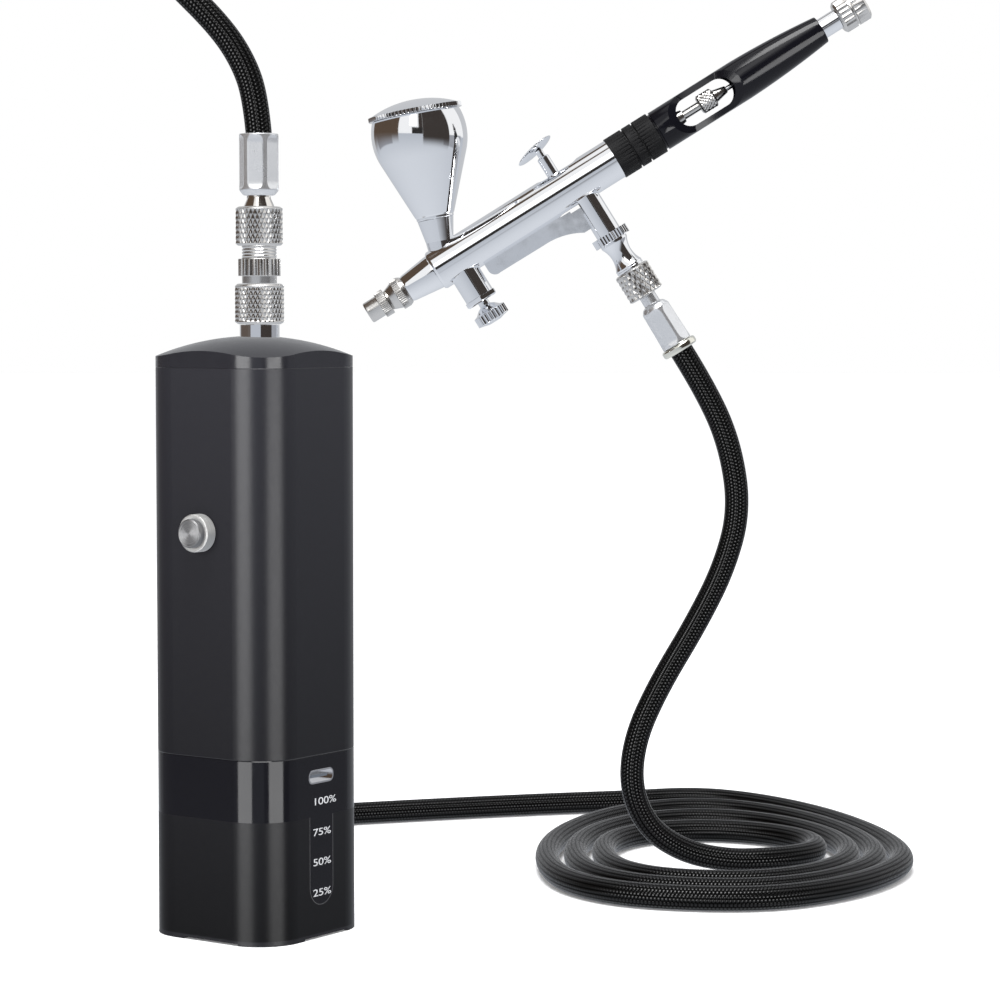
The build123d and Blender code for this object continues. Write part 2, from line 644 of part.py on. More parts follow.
# --- paint cup and lid ---
with BuildPart() as paint_cup:
    with BuildSketch(CUP_PLANE):
        with BuildLine():
            Polyline((1.8, 0.0), (4.9, 0.0), (11.7, 16.8))
            ThreePointArc((11.7, 16.8), (12.9, 22.5), (11.9, 28.4))
            Line((11.9, 28.4), (11.1, 28.4))
            ThreePointArc((11.1, 28.4), (12.1, 22.5), (10.9, 17.2))
            Polyline((10.9, 17.2), (4.4, 1.4), (1.8, 0.9), (1.8, 0.0))
        make_face()
    revolve(axis=CUP_AXIS)
paint_cup.part.label = "paint_cup"
export_step(paint_cup.part, "parts/paint_cup.step")

LID_RIM = 12.2
LID_TOP = 32.5
lid_rise = LID_TOP - 29.7
lid_radius = (LID_RIM**2 + lid_rise**2) / (2 * lid_rise)
lid_shoulder = LID_TOP - lid_radius + math.sqrt(lid_radius**2 - (LID_RIM / 2) ** 2)
with BuildPart() as cup_lid:
    with BuildSketch(CUP_PLANE):
        with BuildLine():
            Polyline((0, 28.5), (10.1, 28.5), (10.1, 26.6), (10.8, 26.6), (10.8, 28.5), (12.7, 28.5))
            Polyline((12.7, 28.5), (12.7, 29.7), (12.2, 29.7))
            ThreePointArc((LID_RIM, 29.7), (LID_RIM / 2, lid_shoulder), (0, LID_TOP))
            Line((0, 32.5), (0, 28.5))
        make_face()
    revolve(axis=CUP_AXIS)
cup_lid.part.label = "cup_lid"
export_step(cup_lid.part, "parts/cup_lid.step")

# --- air control under the head ---
with BuildPart() as air_control_seat:
    seat_steps = [(-13.6, 5.0), (-12.0, 5.0), (-12.0, 3.0), (-9.0, 3.0)]
    revolve(section(CONTROL_PLANE, seat_steps, 1.55), CONTROL_AXIS)
air_control_seat.part.label = "air_control_seat"
export_step(air_control_seat.part, "parts/air_control_seat.step")

with BuildPart() as air_control_knob:
    knob_steps = [(-20.0, 1.6), (-19.6, 3.2), (-19.4, 4.4), (-19.1, 4.65), (-16.9, 4.65)]
    knob_steps += [(-16.6, 4.4), (-16.2, 1.5), (-8.0, 1.5), (-7.6, 0.9)]
    revolve(section(CONTROL_PLANE, knob_steps), CONTROL_AXIS)
air_control_knob.part.label = "air_control_knob"
export_step(air_control_knob.part, "parts/air_control_knob.step")

# --- trigger ---
with BuildPart() as trigger_sleeve:
    revolve(section(TRIGGER_PLANE, [(4.4, 1.7), (10.4, 1.7), (10.7, 1.4)], 1.06), TRIGGER_AXIS)
trigger_sleeve.part.label = "trigger_sleeve"
export_step(trigger_sleeve.part, "parts/trigger_sleeve.step")

PAD_TILT = 11.4
PAD_PLANE = Plane(
    origin=BRUSH.from_local_coords((TRIGGER_STATION - 0.9, 13.4, 0)),
    x_dir=ALONG.rotate(Axis((0, 0, 0), (0, 1, 0)), -PAD_TILT),
    z_dir=SQUARE.rotate(Axis((0, 0, 0), (0, 1, 0)), -PAD_TILT),
)
with BuildPart() as trigger:
    revolve(section(TRIGGER_PLANE, [(3.9, 1.0), (13.2, 1.0)]), TRIGGER_AXIS)
    with BuildSketch(TRIGGER_PLANE):
        with Locations((0, -0.35)):
            Rectangle(2.0, 8.5)
    extrude(amount=1.7, both=True)
    with BuildSketch(TRIGGER_PLANE):
        with Locations((0, 1.0)):
            Rectangle(3.0, 4.6)
    extrude(amount=0.95, both=True, mode=Mode.SUBTRACT)
    with BuildSketch(TRIGGER_PLANE):
        with Locations((1.7, -4.1)):
            Rectangle(3.4, 1.0)
    extrude(amount=1.2, both=True)
    with BuildSketch(PAD_PLANE):
        Ellipse(5.8, 4.6)
    extrude(amount=-0.9)
    with Locations(PAD_PLANE.offset(19.6)):
        Sphere(20.0, mode=Mode.SUBTRACT)
trigger.part.label = "trigger"
export_step(trigger.part, "parts/trigger.step")

# --- needle and what travels with it ---
with BuildPart() as needle:
    with BuildSketch(NEEDLE_PLANE):
        with BuildLine():
            Polyline((0, 2.2), (0.08, 2.2), (NEEDLE_RADIUS, 11.0), (NEEDLE_RADIUS, 117.0), (0, 117.0), close=True)
        make_face()
    revolve(axis=NEEDLE_AXIS)
needle.part.label = "needle"
export_step(needle.part, "parts/needle.step")

with BuildPart() as back_lever:
    with BuildSketch(BRUSH):
        with BuildLine():
            Polyline((63.6, -2.4), (65.0, -2.4), (65.6, 1.0), (65.0, 3.0), (63.9, 3.0), close=True)
        make_face()
    extrude(amount=1.7, both=True)
    revolve(section(NEEDLE_PLANE, [(63.0, 0.7), (67.0, 0.7)]), NEEDLE_AXIS, mode=Mode.SUBTRACT)
back_lever.part.label = "back_lever"
export_step(back_lever.part, "parts/back_lever.step")

with BuildPart() as needle_tube:
    tube_steps = [(65.6, 1.2), (71.0, 1.2), (71.0, 2.3), (72.0, 2.3), (72.0, 1.2), (105.0, 1.2)]
    revolve(section(NEEDLE_PLANE, tube_steps, NEEDLE_RADIUS + 0.05), NEEDLE_AXIS)
needle_tube.part.label = "needle_tube"
export_step(needle_tube.part, "parts/needle_tube.step")

with BuildPart() as chuck_nut:
    chuck_steps = [(105.0, 1.6), (105.0, 2.65), (109.8, 2.65), (109.8, 1.9), (113.5, 0.95)]
    revolve(section(NEEDLE_PLANE, chuck_steps, NEEDLE_RADIUS + 0.02), NEEDLE_AXIS)
chuck_nut.part.label = "chuck_nut"
export_step(chuck_nut.part, "parts/chuck_nut.step")

needle_spring = spring(NEEDLE_PLANE, 1.85, 0.4, 72.3, 91.0, 9)
needle_spring.label = "needle_spring"
export_step(needle_spring, "parts/needle_spring.step")

with BuildPart() as spring_case:
    case_steps = [(73.0, 3.55), (93.0, 3.55), (96.0, 2.6), (100.0, 1.75)]
    revolve(section(NEEDLE_PLANE, case_steps, 1.28), NEEDLE_AXIS)
    revolve(section(NEEDLE_PLANE, [(72.0, 2.5), (91.3, 2.5)]), NEEDLE_AXIS, mode=Mode.SUBTRACT)
spring_case.part.label = "spring_case"
export_step(spring_case.part, "parts/spring_case.step")

# --- handle ---
with BuildPart() as grip_collar:
    collar_steps = [(78.3, 5.9), (83.4, 5.9), (83.4, 5.4), (83.9, 5.4), (83.9, 5.9), (86.5, 5.9)]
    collar_steps += [(86.5, 5.4), (87.0, 5.4), (87.0, 5.9), (91.5, 5.9)]
    revolve(section(NEEDLE_PLANE, collar_steps, 3.6), NEEDLE_AXIS)
grip_collar.part.label = "grip_collar"
export_step(grip_collar.part, "parts/grip_collar.step")

WINDOW_LENGTH = 18.0
WINDOW_TALL = 8.3
WINDOW_STATION = 106.8
with BuildPart() as handle:
    with BuildSketch(NEEDLE_PLANE):
        with BuildLine():
            Polyline((3.6, 91.5), (5.2, 91.5), (5.2, 92.1), (HANDLE_RADIUS, 92.1), (HANDLE_RADIUS, 118.0))
            ThreePointArc((HANDLE_RADIUS, 118.0), (5.1, 130.0), (3.8, 143.5))
            Polyline((3.8, 143.5), (2.85, 143.5), (2.85, 124.0), (4.3, 119.0), (4.3, 94.0), (3.6, 93.0), (3.6, 91.5))
        make_face()
    revolve(axis=NEEDLE_AXIS)
    with BuildSketch(Plane(origin=BRUSH.from_local_coords((WINDOW_STATION, 0, 0)), x_dir=ALONG, z_dir=(0, -1, 0))):
        SlotOverall(WINDOW_LENGTH, WINDOW_TALL)
    extrude(amount=8.0, both=True, mode=Mode.SUBTRACT)
handle.part.label = "handle"
export_step(handle.part, "parts/handle.step")

with BuildPart() as preset_bush:
    revolve(section(NEEDLE_PLANE, [(136.0, 2.8), (148.7, 2.8)], 1.6), NEEDLE_AXIS)
preset_bush.part.label = "preset_bush"
export_step(preset_bush.part, "parts/preset_bush.step")

with BuildPart() as preset_knob:
    preset_steps = [(123.5, 1.5), (148.8, 1.5), (148.8, 3.9), (149.4, 4.55), (156.4, 4.55), (157.0, 4.0)]
    revolve(section(NEEDLE_PLANE, preset_steps), NEEDLE_AXIS)
preset_knob.part.label = "preset_knob"
export_step(preset_knob.part, "parts/preset_knob.step")

# --- air valve under the trigger ---
with BuildPart() as air_plunger:
    plunger_steps = [(-16.0, 0.6), (-15.6, 1.2), (-6.9, 1.2), (-6.9, 2.3), (-5.9, 2.3)]
    revolve(section(VALVE_PLANE, plunger_steps), VALVE_AXIS)
air_plunger.part.label = "air_plunger"
export_step(air_plunger.part, "parts/air_plunger.step")

valve_spring = spring(VALVE_PLANE, 1.75, 0.35, -10.7, -7.2, 4)
valve_spring.label = "valve_spring"
export_step(valve_spring, "parts/valve_spring.step")

with BuildPart() as valve_casing:
    casing_steps = [(-21.5, 2.5), (-18.4, 2.5), (-18.4, 5.2), (-16.0, 5.2), (-16.0, 2.55), (-11.0, 2.55)]
    revolve(section(VALVE_PLANE, casing_steps, 1.3), VALVE_AXIS)
valve_casing.part.label = "valve_casing"
export_step(valve_casing.part, "parts/valve_casing.step")

with BuildPart() as quick_adapter:
    with BuildSketch(VALVE_PLANE):
        with BuildLine():
            Polyline((2.55, -18.4), (3.9, -18.4), (3.9, -19.0))
            ThreePointArc((3.9, -19.0), (3.05, -22.6), (3.95, -26.6))
            Polyline((3.95, -26.6), (3.95, -27.3), (1.4, -27.3), (1.4, -21.6), (2.55, -21.6), (2.55, -18.4))
        make_face()
    revolve(axis=VALVE_AXIS)
quick_adapter.part.label = "quick_adapter"
export_step(quick_adapter.part, "parts/quick_adapter.step")

with BuildPart() as hose_nut_airbrush:
    brush_nut_steps = [(-35.6, 4.5), (-35.2, 5.0), (-27.8, 5.0), (-27.4, 4.5)]
    revolve(section(VALVE_PLANE, brush_nut_steps, 2.3), VALVE_AXIS)
hose_nut_airbrush.part.label = "hose_nut_airbrush"
export_step(hose_nut_airbrush.part, "parts/hose_nut_airbrush.step")

FLANGE_END = -53.2
with BuildPart() as ferrule_airbrush:
    brush_ferrule_steps = [(FLANGE_END, 4.7), (-52.9, 5.0), (-51.5, 5.0), (-51.2, 4.6), (-51.2, 3.3)]
    brush_ferrule_steps += [(-39.6, 3.3), (-38.4, 2.7), (-38.4, 2.2), (-27.3, 2.2)]
    revolve(section(VALVE_PLANE, brush_ferrule_steps, 1.2), VALVE_AXIS)
ferrule_airbrush.part.label = "ferrule_airbrush"
export_step(ferrule_airbrush.part, "parts/ferrule_airbrush.step")

# =========================================================================================
# Hose
# =========================================================================================

with BuildPart() as hose_coil:
    with BuildSketch(Plane.XY.offset(0.05)):
        with BuildLine():
            egg(*COIL_OUTLINE)
        make_face()
        with BuildLine():
            egg(*COIL_HOLE)
        make_face(mode=Mode.SUBTRACT)
    extrude(amount=HOSE)
hose_coil.part.label = "hose_coil"
export_step(hose_coil.part, "parts/hose_coil.step")

HOSE_END = VALVE_PLANE.from_local_coords((0, FLANGE_END, 0))
STRETCHES = {
    "hose_supply_run": SUPPLY_ROUTE,
    "hose_riser": [*RISER_ROUTE, tuple(HOSE_END)],
}
for stretch_name, corners in STRETCHES.items():
    points, radii = hose_path(corners)
    with BuildPart() as stretch:
        with BuildLine() as route:
            FilletPolyline(*points, radius=radii)
        with BuildSketch(Plane(origin=route.line @ 0, z_dir=route.line % 0)):
            Circle(HOSE / 2)
        sweep()
        add(hose_coil.part, mode=Mode.SUBTRACT)
    route_length = sum(edge.length for edge in route.edges())
    print(stretch_name, "length", round(route_length, 1))
    print("  radii", [round(radius, 1) for radius in radii])
    expected = math.pi * (HOSE / 2) ** 2 * route_length
    print("  volume", round(stretch.part.volume, 1), "section times length", round(expected, 1))
    stretch.part.label = stretch_name
    export_step(stretch.part, f"parts/{stretch_name}.step")
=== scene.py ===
import json
import math

import bpy
from mathutils import Matrix, Vector

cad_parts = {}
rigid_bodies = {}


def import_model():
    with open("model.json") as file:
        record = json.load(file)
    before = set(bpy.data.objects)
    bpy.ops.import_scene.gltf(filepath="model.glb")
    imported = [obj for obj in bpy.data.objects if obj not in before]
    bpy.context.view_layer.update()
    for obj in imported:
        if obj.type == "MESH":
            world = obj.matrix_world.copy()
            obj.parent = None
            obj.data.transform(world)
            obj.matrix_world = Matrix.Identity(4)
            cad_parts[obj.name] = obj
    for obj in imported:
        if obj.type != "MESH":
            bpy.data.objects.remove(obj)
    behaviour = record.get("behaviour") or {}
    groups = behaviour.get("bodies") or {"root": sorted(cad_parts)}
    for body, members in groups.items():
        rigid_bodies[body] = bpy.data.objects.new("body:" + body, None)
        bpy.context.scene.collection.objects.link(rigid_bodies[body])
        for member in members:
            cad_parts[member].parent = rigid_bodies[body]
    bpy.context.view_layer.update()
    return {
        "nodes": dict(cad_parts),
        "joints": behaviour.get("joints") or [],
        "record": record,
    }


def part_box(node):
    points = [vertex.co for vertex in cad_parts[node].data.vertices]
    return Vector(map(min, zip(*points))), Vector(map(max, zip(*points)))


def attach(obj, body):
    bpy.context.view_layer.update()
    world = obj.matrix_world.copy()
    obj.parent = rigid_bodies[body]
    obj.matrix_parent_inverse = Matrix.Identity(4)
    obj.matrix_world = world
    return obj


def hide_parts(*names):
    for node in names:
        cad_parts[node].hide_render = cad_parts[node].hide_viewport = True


# Airbrush compressor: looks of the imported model.  Own dimensions are millimetres, and each
# piece's matrix takes them into the frame's metres.

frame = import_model()

MM = 0.001
NODES = frame["nodes"]
JOINTS = {joint["name"]: joint for joint in frame["joints"]}
BODY_OF = {}
for body_name, members in frame["record"]["behaviour"]["bodies"].items():
    for member in members:
        BODY_OF[member] = body_name
SLOT_OF = {part["node"]: part["material_slot"] for part in frame["record"]["subparts"]}


# =========================================================================================
# Places
# =========================================================================================


def place(origin, axis, side=(0, -1, 0)):
    """Matrix from a piece's own millimetres to the frame: z along axis, x towards side."""
    along = Vector(axis).normalized()
    out = Vector(side) - along * along.dot(Vector(side))
    out.normalize()
    turn = Matrix((out, along.cross(out), along)).transposed().to_4x4()
    return Matrix.Translation(origin) @ turn @ Matrix.Scale(MM, 4)


def joint_place(name):
    return place(JOINTS[name]["pos_m"], JOINTS[name]["axis"])


def reach(node, spot):
    """Lowest and highest station of a CAD node along a place's z, and its widest radius, in mm."""
    back = spot.inverted()
    local = [back @ vertex.co for vertex in NODES[node].data.vertices]
    stations = [point.z for point in local]
    return min(stations), max(stations), max(point.xy.length for point in local)


def from_zero(spot, node):
    """The same place, moved along its axis so that the node starts at station 0."""
    return spot @ Matrix.Translation((0, 0, reach(node, spot)[0]))


FACE_RIGHT = Vector(JOINTS["piston_stroke"]["axis"])
FACE_LEFT = -Vector(JOINTS["power_button_press"]["axis"])
UP = Vector((0, 0, 1))
OUTLET = place((*JOINTS["outlet_hose_nut_spin"]["pos_m"][:2], 0), UP)
NEEDLE = from_zero(joint_place("crown_cap_spin"), "crown_cap")     # station 0 at the airbrush's tip
ALONG = NEEDLE.col[2].xyz.normalized()
SQUARE = Vector(JOINTS["brush_hose_nut_spin"]["axis"])


def from_brush_axis(spot):
    """A place square to the airbrush, moved so that its station 0 is on the airbrush's axis."""
    rise = (NEEDLE.translation - spot.translation).dot(SQUARE)
    return spot @ Matrix.Translation((0, 0, rise / MM))


def on_brush(station, height, axis):
    """Place at a station along the airbrush, that height above its axis."""
    return place(NEEDLE @ Vector((0, -height, station)), axis)


CONTROL = from_brush_axis(joint_place("air_control_spin"))
VALVE = from_brush_axis(joint_place("brush_hose_nut_spin"))
CUP = from_zero(on_brush(28.9, 11.8, JOINTS["lid_lift"]["axis"]), "paint_cup")
BUTTON = place(sum(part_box("button_bezel"), Vector()) / 2, FACE_LEFT, UP)


# =========================================================================================
# Materials
# =========================================================================================


class Shade:
    """A Principled material and short ways to add grain, mottling and patterns to it."""

    def __init__(self, name, color, roughness, metallic=0.0, **sockets):
        self.material = bpy.data.materials.new(name)
        self.material.use_nodes = True
        self.tree = self.material.node_tree
        self.surface = self.tree.nodes["Principled BSDF"]
        self.surface.inputs["Base Color"].default_value = (*color, 1)
        self.surface.inputs["Roughness"].default_value = roughness
        self.surface.inputs["Metallic"].default_value = metallic
        for socket, value in sockets.items():
            self.surface.inputs[socket.replace("_", " ")].default_value = value
        self.height = None

    def node(self, kind, **values):
        made = self.tree.nodes.new(kind)
        for key, value in values.items():
            if hasattr(made, key):
                setattr(made, key, value)
            else:
                made.inputs[key.replace("_", " ")].default_value = value
        return made

    def join(self, source, target):
        self.tree.links.new(source, target)

    def math(self, operation, first, second=None):
        made = self.node("ShaderNodeMath", operation=operation)
        for socket, value in zip(made.inputs, (first, second)):
            if isinstance(value, bpy.types.NodeSocket):
                self.join(value, socket)
            elif value is not None:
                socket.default_value = value
        return made.outputs[0]

    def noise(self, scale, detail=3.0, stretch=(1, 1, 1), coords="Object"):
        """Noise with features of about 1/scale mm."""
        where = self.node("ShaderNodeTexCoord")
        fit = self.node("ShaderNodeMapping")
        per_unit = 1 / MM if coords == "Object" else 1.0
        fit.inputs["Scale"].default_value = [per_unit * value for value in stretch]
        self.join(where.outputs[coords], fit.inputs["Vector"])
        made = self.node("ShaderNodeTexNoise", Scale=scale, Detail=detail)
        self.join(fit.outputs["Vector"], made.inputs["Vector"])
        return made.outputs["Fac"]

    def spread(self, source, low, high, start=0.3, end=0.7):
        made = self.node("ShaderNodeMapRange")
        made.inputs["From Min"].default_value = start
        made.inputs["From Max"].default_value = end
        made.inputs["To Min"].default_value = low
        made.inputs["To Max"].default_value = high
        self.join(source, made.inputs["Value"])
        return made.outputs["Result"]

    def mottle(self, scale, low, high, stretch=(1, 1, 1), coords="Object"):
        """Roughness that varies over the surface."""
        source = self.noise(scale, 4.0, stretch, coords)
        self.join(self.spread(source, low, high), self.surface.inputs["Roughness"])
        return self

    def tones(self, scale, dark, light, stretch=(1, 1, 1), coords="Object"):
        """Base colour that varies between two tones."""
        ramp = self.node("ShaderNodeValToRGB")
        ramp.color_ramp.elements[0].position = 0.3
        ramp.color_ramp.elements[0].color = (*dark, 1)
        ramp.color_ramp.elements[1].position = 0.7
        ramp.color_ramp.elements[1].color = (*light, 1)
        self.join(self.noise(scale, 3.0, stretch, coords), ramp.inputs["Fac"])
        self.join(ramp.outputs["Color"], self.surface.inputs["Base Color"])
        return self

    def bump(self, source, depth, strength=1.0):
        """Relief of that depth in mm."""
        made = self.node("ShaderNodeBump", Strength=strength, Distance=depth * MM)
        self.join(source, made.inputs["Height"])
        if self.height is not None:
            self.join(self.height, made.inputs["Normal"])
        self.height = made.outputs["Normal"]
        self.join(self.height, self.surface.inputs["Normal"])
        return self

    def grain(self, scale, depth, stretch=(1, 1, 1), coords="Object"):
        return self.bump(self.noise(scale, 3.0, stretch, coords), depth)


TURNED = (0.15, 6, 1)    # on a turned piece's own coordinates: long round it, short along it


def polished(name, color, low=0.03, high=0.09):
    """Bright plate with a very faint waviness."""
    made = Shade(name, color, low, 1.0)
    made.mottle(0.35, low, high)
    made.grain(0.12, 0.004)
    return made


def turned_metal(name, dark, light, low, high, lines=0.006):
    """Metal with fine turning marks round its axis."""
    made = Shade(name, light, low, 1.0)
    made.tones(1.0, dark, light, TURNED, "UV")
    made.mottle(2.0, low, high, TURNED, "UV")
    made.grain(2.5, lines, TURNED, "UV")
    return made


def braid():
    """Glossy black braid: rows of short raised stitches along the hose, every other row half a stitch on."""
    made = Shade("hose_braid", (0.004, 0.004, 0.004), 0.26, Specular_IOR_Level=0.3)
    where = made.node("ShaderNodeTexCoord")
    split = made.node("ShaderNodeSeparateXYZ")
    made.join(where.outputs["UV"], split.inputs["Vector"])
    rows = made.math("MULTIPLY", split.outputs["Y"], BRAID_ROWS)
    shift = made.math("MULTIPLY", made.math("FLOORED_MODULO", made.math("FLOOR", rows), 2.0), 0.5)
    stitches = made.math("DIVIDE", split.outputs["X"], BRAID_STITCH)
    stitch = made.math("FRACT", made.math("ADD", stitches, shift))
    across = made.math("SUBTRACT", made.math("FRACT", rows), 0.5)
    along = made.math("SUBTRACT", stitch, 0.5)
    crown = made.math("SUBTRACT", 1.0, made.math("MULTIPLY", made.math("POWER", across, 2.0), 3.4))
    swell = made.math("SUBTRACT", 1.0, made.math("MULTIPLY", made.math("POWER", along, 2.0), 3.2))
    yarn_height = made.math("MULTIPLY", crown, swell)
    # painted shade: the base colour is darker down between the stitches than on their crowns
    shade = made.node("ShaderNodeValToRGB")
    shade.color_ramp.elements[0].position = 0.3
    shade.color_ramp.elements[0].color = (0.0008, 0.0008, 0.0008, 1)
    shade.color_ramp.elements[1].position = 0.9
    shade.color_ramp.elements[1].color = (0.003, 0.003, 0.0032, 1)
    made.join(yarn_height, shade.inputs["Fac"])
    made.join(shade.outputs["Color"], made.surface.inputs["Base Color"])
    gloss = made.math("MULTIPLY", made.math("POWER", yarn_height, 2.0), 0.3)
    made.join(gloss, made.surface.inputs["Specular IOR Level"])
    made.bump(yarn_height, 0.15)
    made.mottle(0.8, 0.12, 0.19, coords="UV")
    return made


BRAID_STITCH = 0.95      # mm along the hose from one stitch to the next
BRAID_ROWS = 18          # rows of stitches round the hose

def painted_shade_downwards(made, low, high, dark, light):
    """Painted shade: base colour and gloss of the housing darken from the top of the part down to its bottom,
    heights in millimetres.
    """
    where = made.node("ShaderNodeTexCoord")
    split = made.node("ShaderNodeSeparateXYZ")
    made.join(where.outputs["Object"], split.inputs["Vector"])
    level = made.math("DIVIDE", made.math("SUBTRACT", split.outputs["Z"], low * MM), (high - low) * MM)
    shade = made.node("ShaderNodeValToRGB")
    for element, (color, _) in zip(shade.color_ramp.elements, (dark, light)):
        element.color = (*color, 1)
    made.join(level, shade.inputs["Fac"])
    made.join(shade.outputs["Color"], made.surface.inputs["Base Color"])
    level = made.math("MINIMUM", made.math("MAXIMUM", level, 0.0), 1.0)
    gloss = made.math("MULTIPLY_ADD", level, light[1] - dark[1])
    gloss.node.inputs[2].default_value = dark[1]
    made.join(gloss, made.surface.inputs["Specular IOR Level"])
    return made


CHROME = (0.86, 0.87, 0.89)
LOOKS = {
    # painted shade on the housing: its black is darker and less glossy towards the bottom
    "satin_black": painted_shade_downwards(
        Shade("satin_black", (0.009, 0.009, 0.012), 0.32), 0, 165, ((0.0025, 0.0025, 0.003), 0.145),
        ((0.014, 0.014, 0.018), 0.27)
    ).mottle(0.9, 0.3, 0.34).grain(9.0, 0.001),
    "cap_black": Shade("cap_black", (0.012, 0.012, 0.015), 0.2, Specular_IOR_Level=0.32)
    .mottle(0.4, 0.17, 0.23),
    "gloss_black": Shade("gloss_black", (0.004, 0.004, 0.0055), 0.12, Specular_IOR_Level=0.22)
    .mottle(0.2, 0.09, 0.15).grain(0.15, 0.004),
    "base_black": Shade("base_black", (0.007, 0.007, 0.009), 0.3, Specular_IOR_Level=0.24)
    .mottle(1.2, 0.3, 0.45).grain(7.0, 0.008),
    "chrome": polished("chrome", CHROME),
    "nickel": polished("nickel", (0.84, 0.81, 0.77), 0.1, 0.18),
    "cut_plate": polished("cut_plate", (0.68, 0.668, 0.65), 0.2, 0.3),
    "ferrule_plate": Shade("ferrule_plate", (0.70, 0.71, 0.73), 0.22, 0.8)
    .mottle(0.35, 0.18, 0.28).grain(0.2, 0.004),
    "bezel_steel": turned_metal("bezel_steel", (0.34, 0.34, 0.335), (0.52, 0.52, 0.51), 0.42, 0.56),
    "steel": turned_metal("steel", (0.3, 0.3, 0.3), (0.52, 0.52, 0.51), 0.22, 0.38),
    "needle_steel": turned_metal("needle_steel", (0.6, 0.6, 0.61), (0.75, 0.75, 0.76), 0.12, 0.22),
    "brass": turned_metal("plated_brass", (0.52, 0.51, 0.49), (0.68, 0.67, 0.65), 0.16, 0.28),
    "handle_black": Shade("handle_black", (0.003, 0.003, 0.0045), 0.1, Specular_IOR_Level=0.2)
    .mottle(0.3, 0.1, 0.17).grain(0.2, 0.004),
    "seal_rubber": Shade("seal_rubber", (0.02, 0.02, 0.02), 0.7).mottle(2.0, 0.6, 0.8).grain(6.0, 0.02),
    "board_green": Shade("board_green", (0.02, 0.12, 0.05), 0.4)
    .tones(0.6, (0.01, 0.07, 0.03), (0.03, 0.15, 0.06)).grain(2.0, 0.03),
    "cell_wrap": Shade("cell_wrap", (0.03, 0.1, 0.3), 0.3)
    .tones(0.3, (0.03, 0.09, 0.28), (0.05, 0.13, 0.36)).grain(0.8, 0.02),
    "ptfe": Shade("ptfe", (0.85, 0.85, 0.83), 0.4, Subsurface_Weight=0.1).mottle(1.5, 0.3, 0.5),
    "clear_tube": Shade("clear_tube", (0.75, 0.75, 0.7), 0.3).mottle(1.0, 0.2, 0.4),
    "pump_alloy": Shade("pump_alloy", (0.62, 0.63, 0.64), 0.45, 1.0).mottle(1.5, 0.38, 0.55).grain(3.0, 0.03),
    "usb_steel": polished("usb_steel", (0.62, 0.62, 0.64), 0.12, 0.22),
    "usb_black": Shade("usb_black", (0.10, 0.115, 0.14), 0.4).mottle(2.0, 0.35, 0.5).grain(4.0, 0.01),
    "spring_steel": polished("spring_steel", (0.6, 0.6, 0.6), 0.15, 0.25),
    "mark_white": Shade("mark_white", (0.52, 0.53, 0.55), 0.5).mottle(3.0, 0.45, 0.6).grain(8.0, 0.003),
    "ferrule_rim": polished("ferrule_rim", (0.83, 0.82, 0.74), 0.08, 0.16),
    # painted highlight: the lighter strip along the edge of the level window's tongue
    "painted_seam_highlight": Shade("painted_seam_highlight", (0.05, 0.05, 0.053), 0.3, Specular_IOR_Level=0.3).mottle(0.5, 0.26, 0.34),
    "button_steel": turned_metal("button_steel", (0.14, 0.14, 0.145), (0.27, 0.27, 0.27), 0.42, 0.54),
    "grip_black": Shade("grip_black", (0.003, 0.003, 0.0035), 0.4, Specular_IOR_Level=0.14)
    .mottle(1.5, 0.38, 0.55).grain(4.0, 0.01),
    "hose_braid": braid(),
}


def dress(piece, look):
    piece.data.materials.clear()
    piece.data.materials.append(LOOKS[look].material)


for node_name, node_object in NODES.items():
    dress(node_object, SLOT_OF[node_name])


# =========================================================================================
# Mesh tools
# =========================================================================================


def mesh_piece(name, points, faces, coords=None, crease=32.0):
    """Object from points in metres; coords are UVs, one for each corner of each face."""
    mesh = bpy.data.meshes.new(name)
    mesh.from_pydata([tuple(point) for point in points], [], faces)
    if coords is not None:
        layer = mesh.uv_layers.new(name="UVMap")
        layer.data.foreach_set("uv", [value for pair in coords for value in pair])
    mesh.shade_smooth()
    mesh.set_sharp_from_angle(angle=math.radians(crease))
    mesh.validate()
    piece = bpy.data.objects.new(name, mesh)
    bpy.context.scene.collection.objects.link(piece)
    return piece


def stand_for(piece, node, look=None):
    """The piece takes a CAD node's place, body and slot."""
    dress(piece, look or SLOT_OF[node])
    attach(piece, BODY_OF[node])
    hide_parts(node)
    return piece


def softened(corners, edge, steps=3):
    """Outline with each of its corners rounded by a small curve."""
    result = [Vector(corners[0])]
    for before, here, after in zip(corners, corners[1:], corners[2:]):
        here = Vector(here)
        back = Vector(before) - here
        ahead = Vector(after) - here
        if back.angle(-ahead) < math.radians(12):
            result.append(here)
            continue
        size = min(edge, 0.4 * back.length, 0.4 * ahead.length)
        start = here + back.normalized() * size
        end = here + ahead.normalized() * size
        for step in range(steps + 1):
            t = step / steps
            result.append(start * (1 - t) ** 2 + here * (2 * t * (1 - t)) + end * t**2)
    result.append(Vector(corners[-1]))
    return result


def with_rows(outline, bands):
    """Outline with more points inside the bands, each band's own step apart."""
    result = [outline[0]]
    for before, here in zip(outline, outline[1:]):
        middle = (before.x + here.x) / 2
        parts = 1
        for start, end, step, _ in bands:
            if start < middle < end:
                parts = max(1, round(abs(here.x - before.x) / step))
        for part in range(1, parts + 1):
            result.append(before.lerp(here, part / parts))
    return result


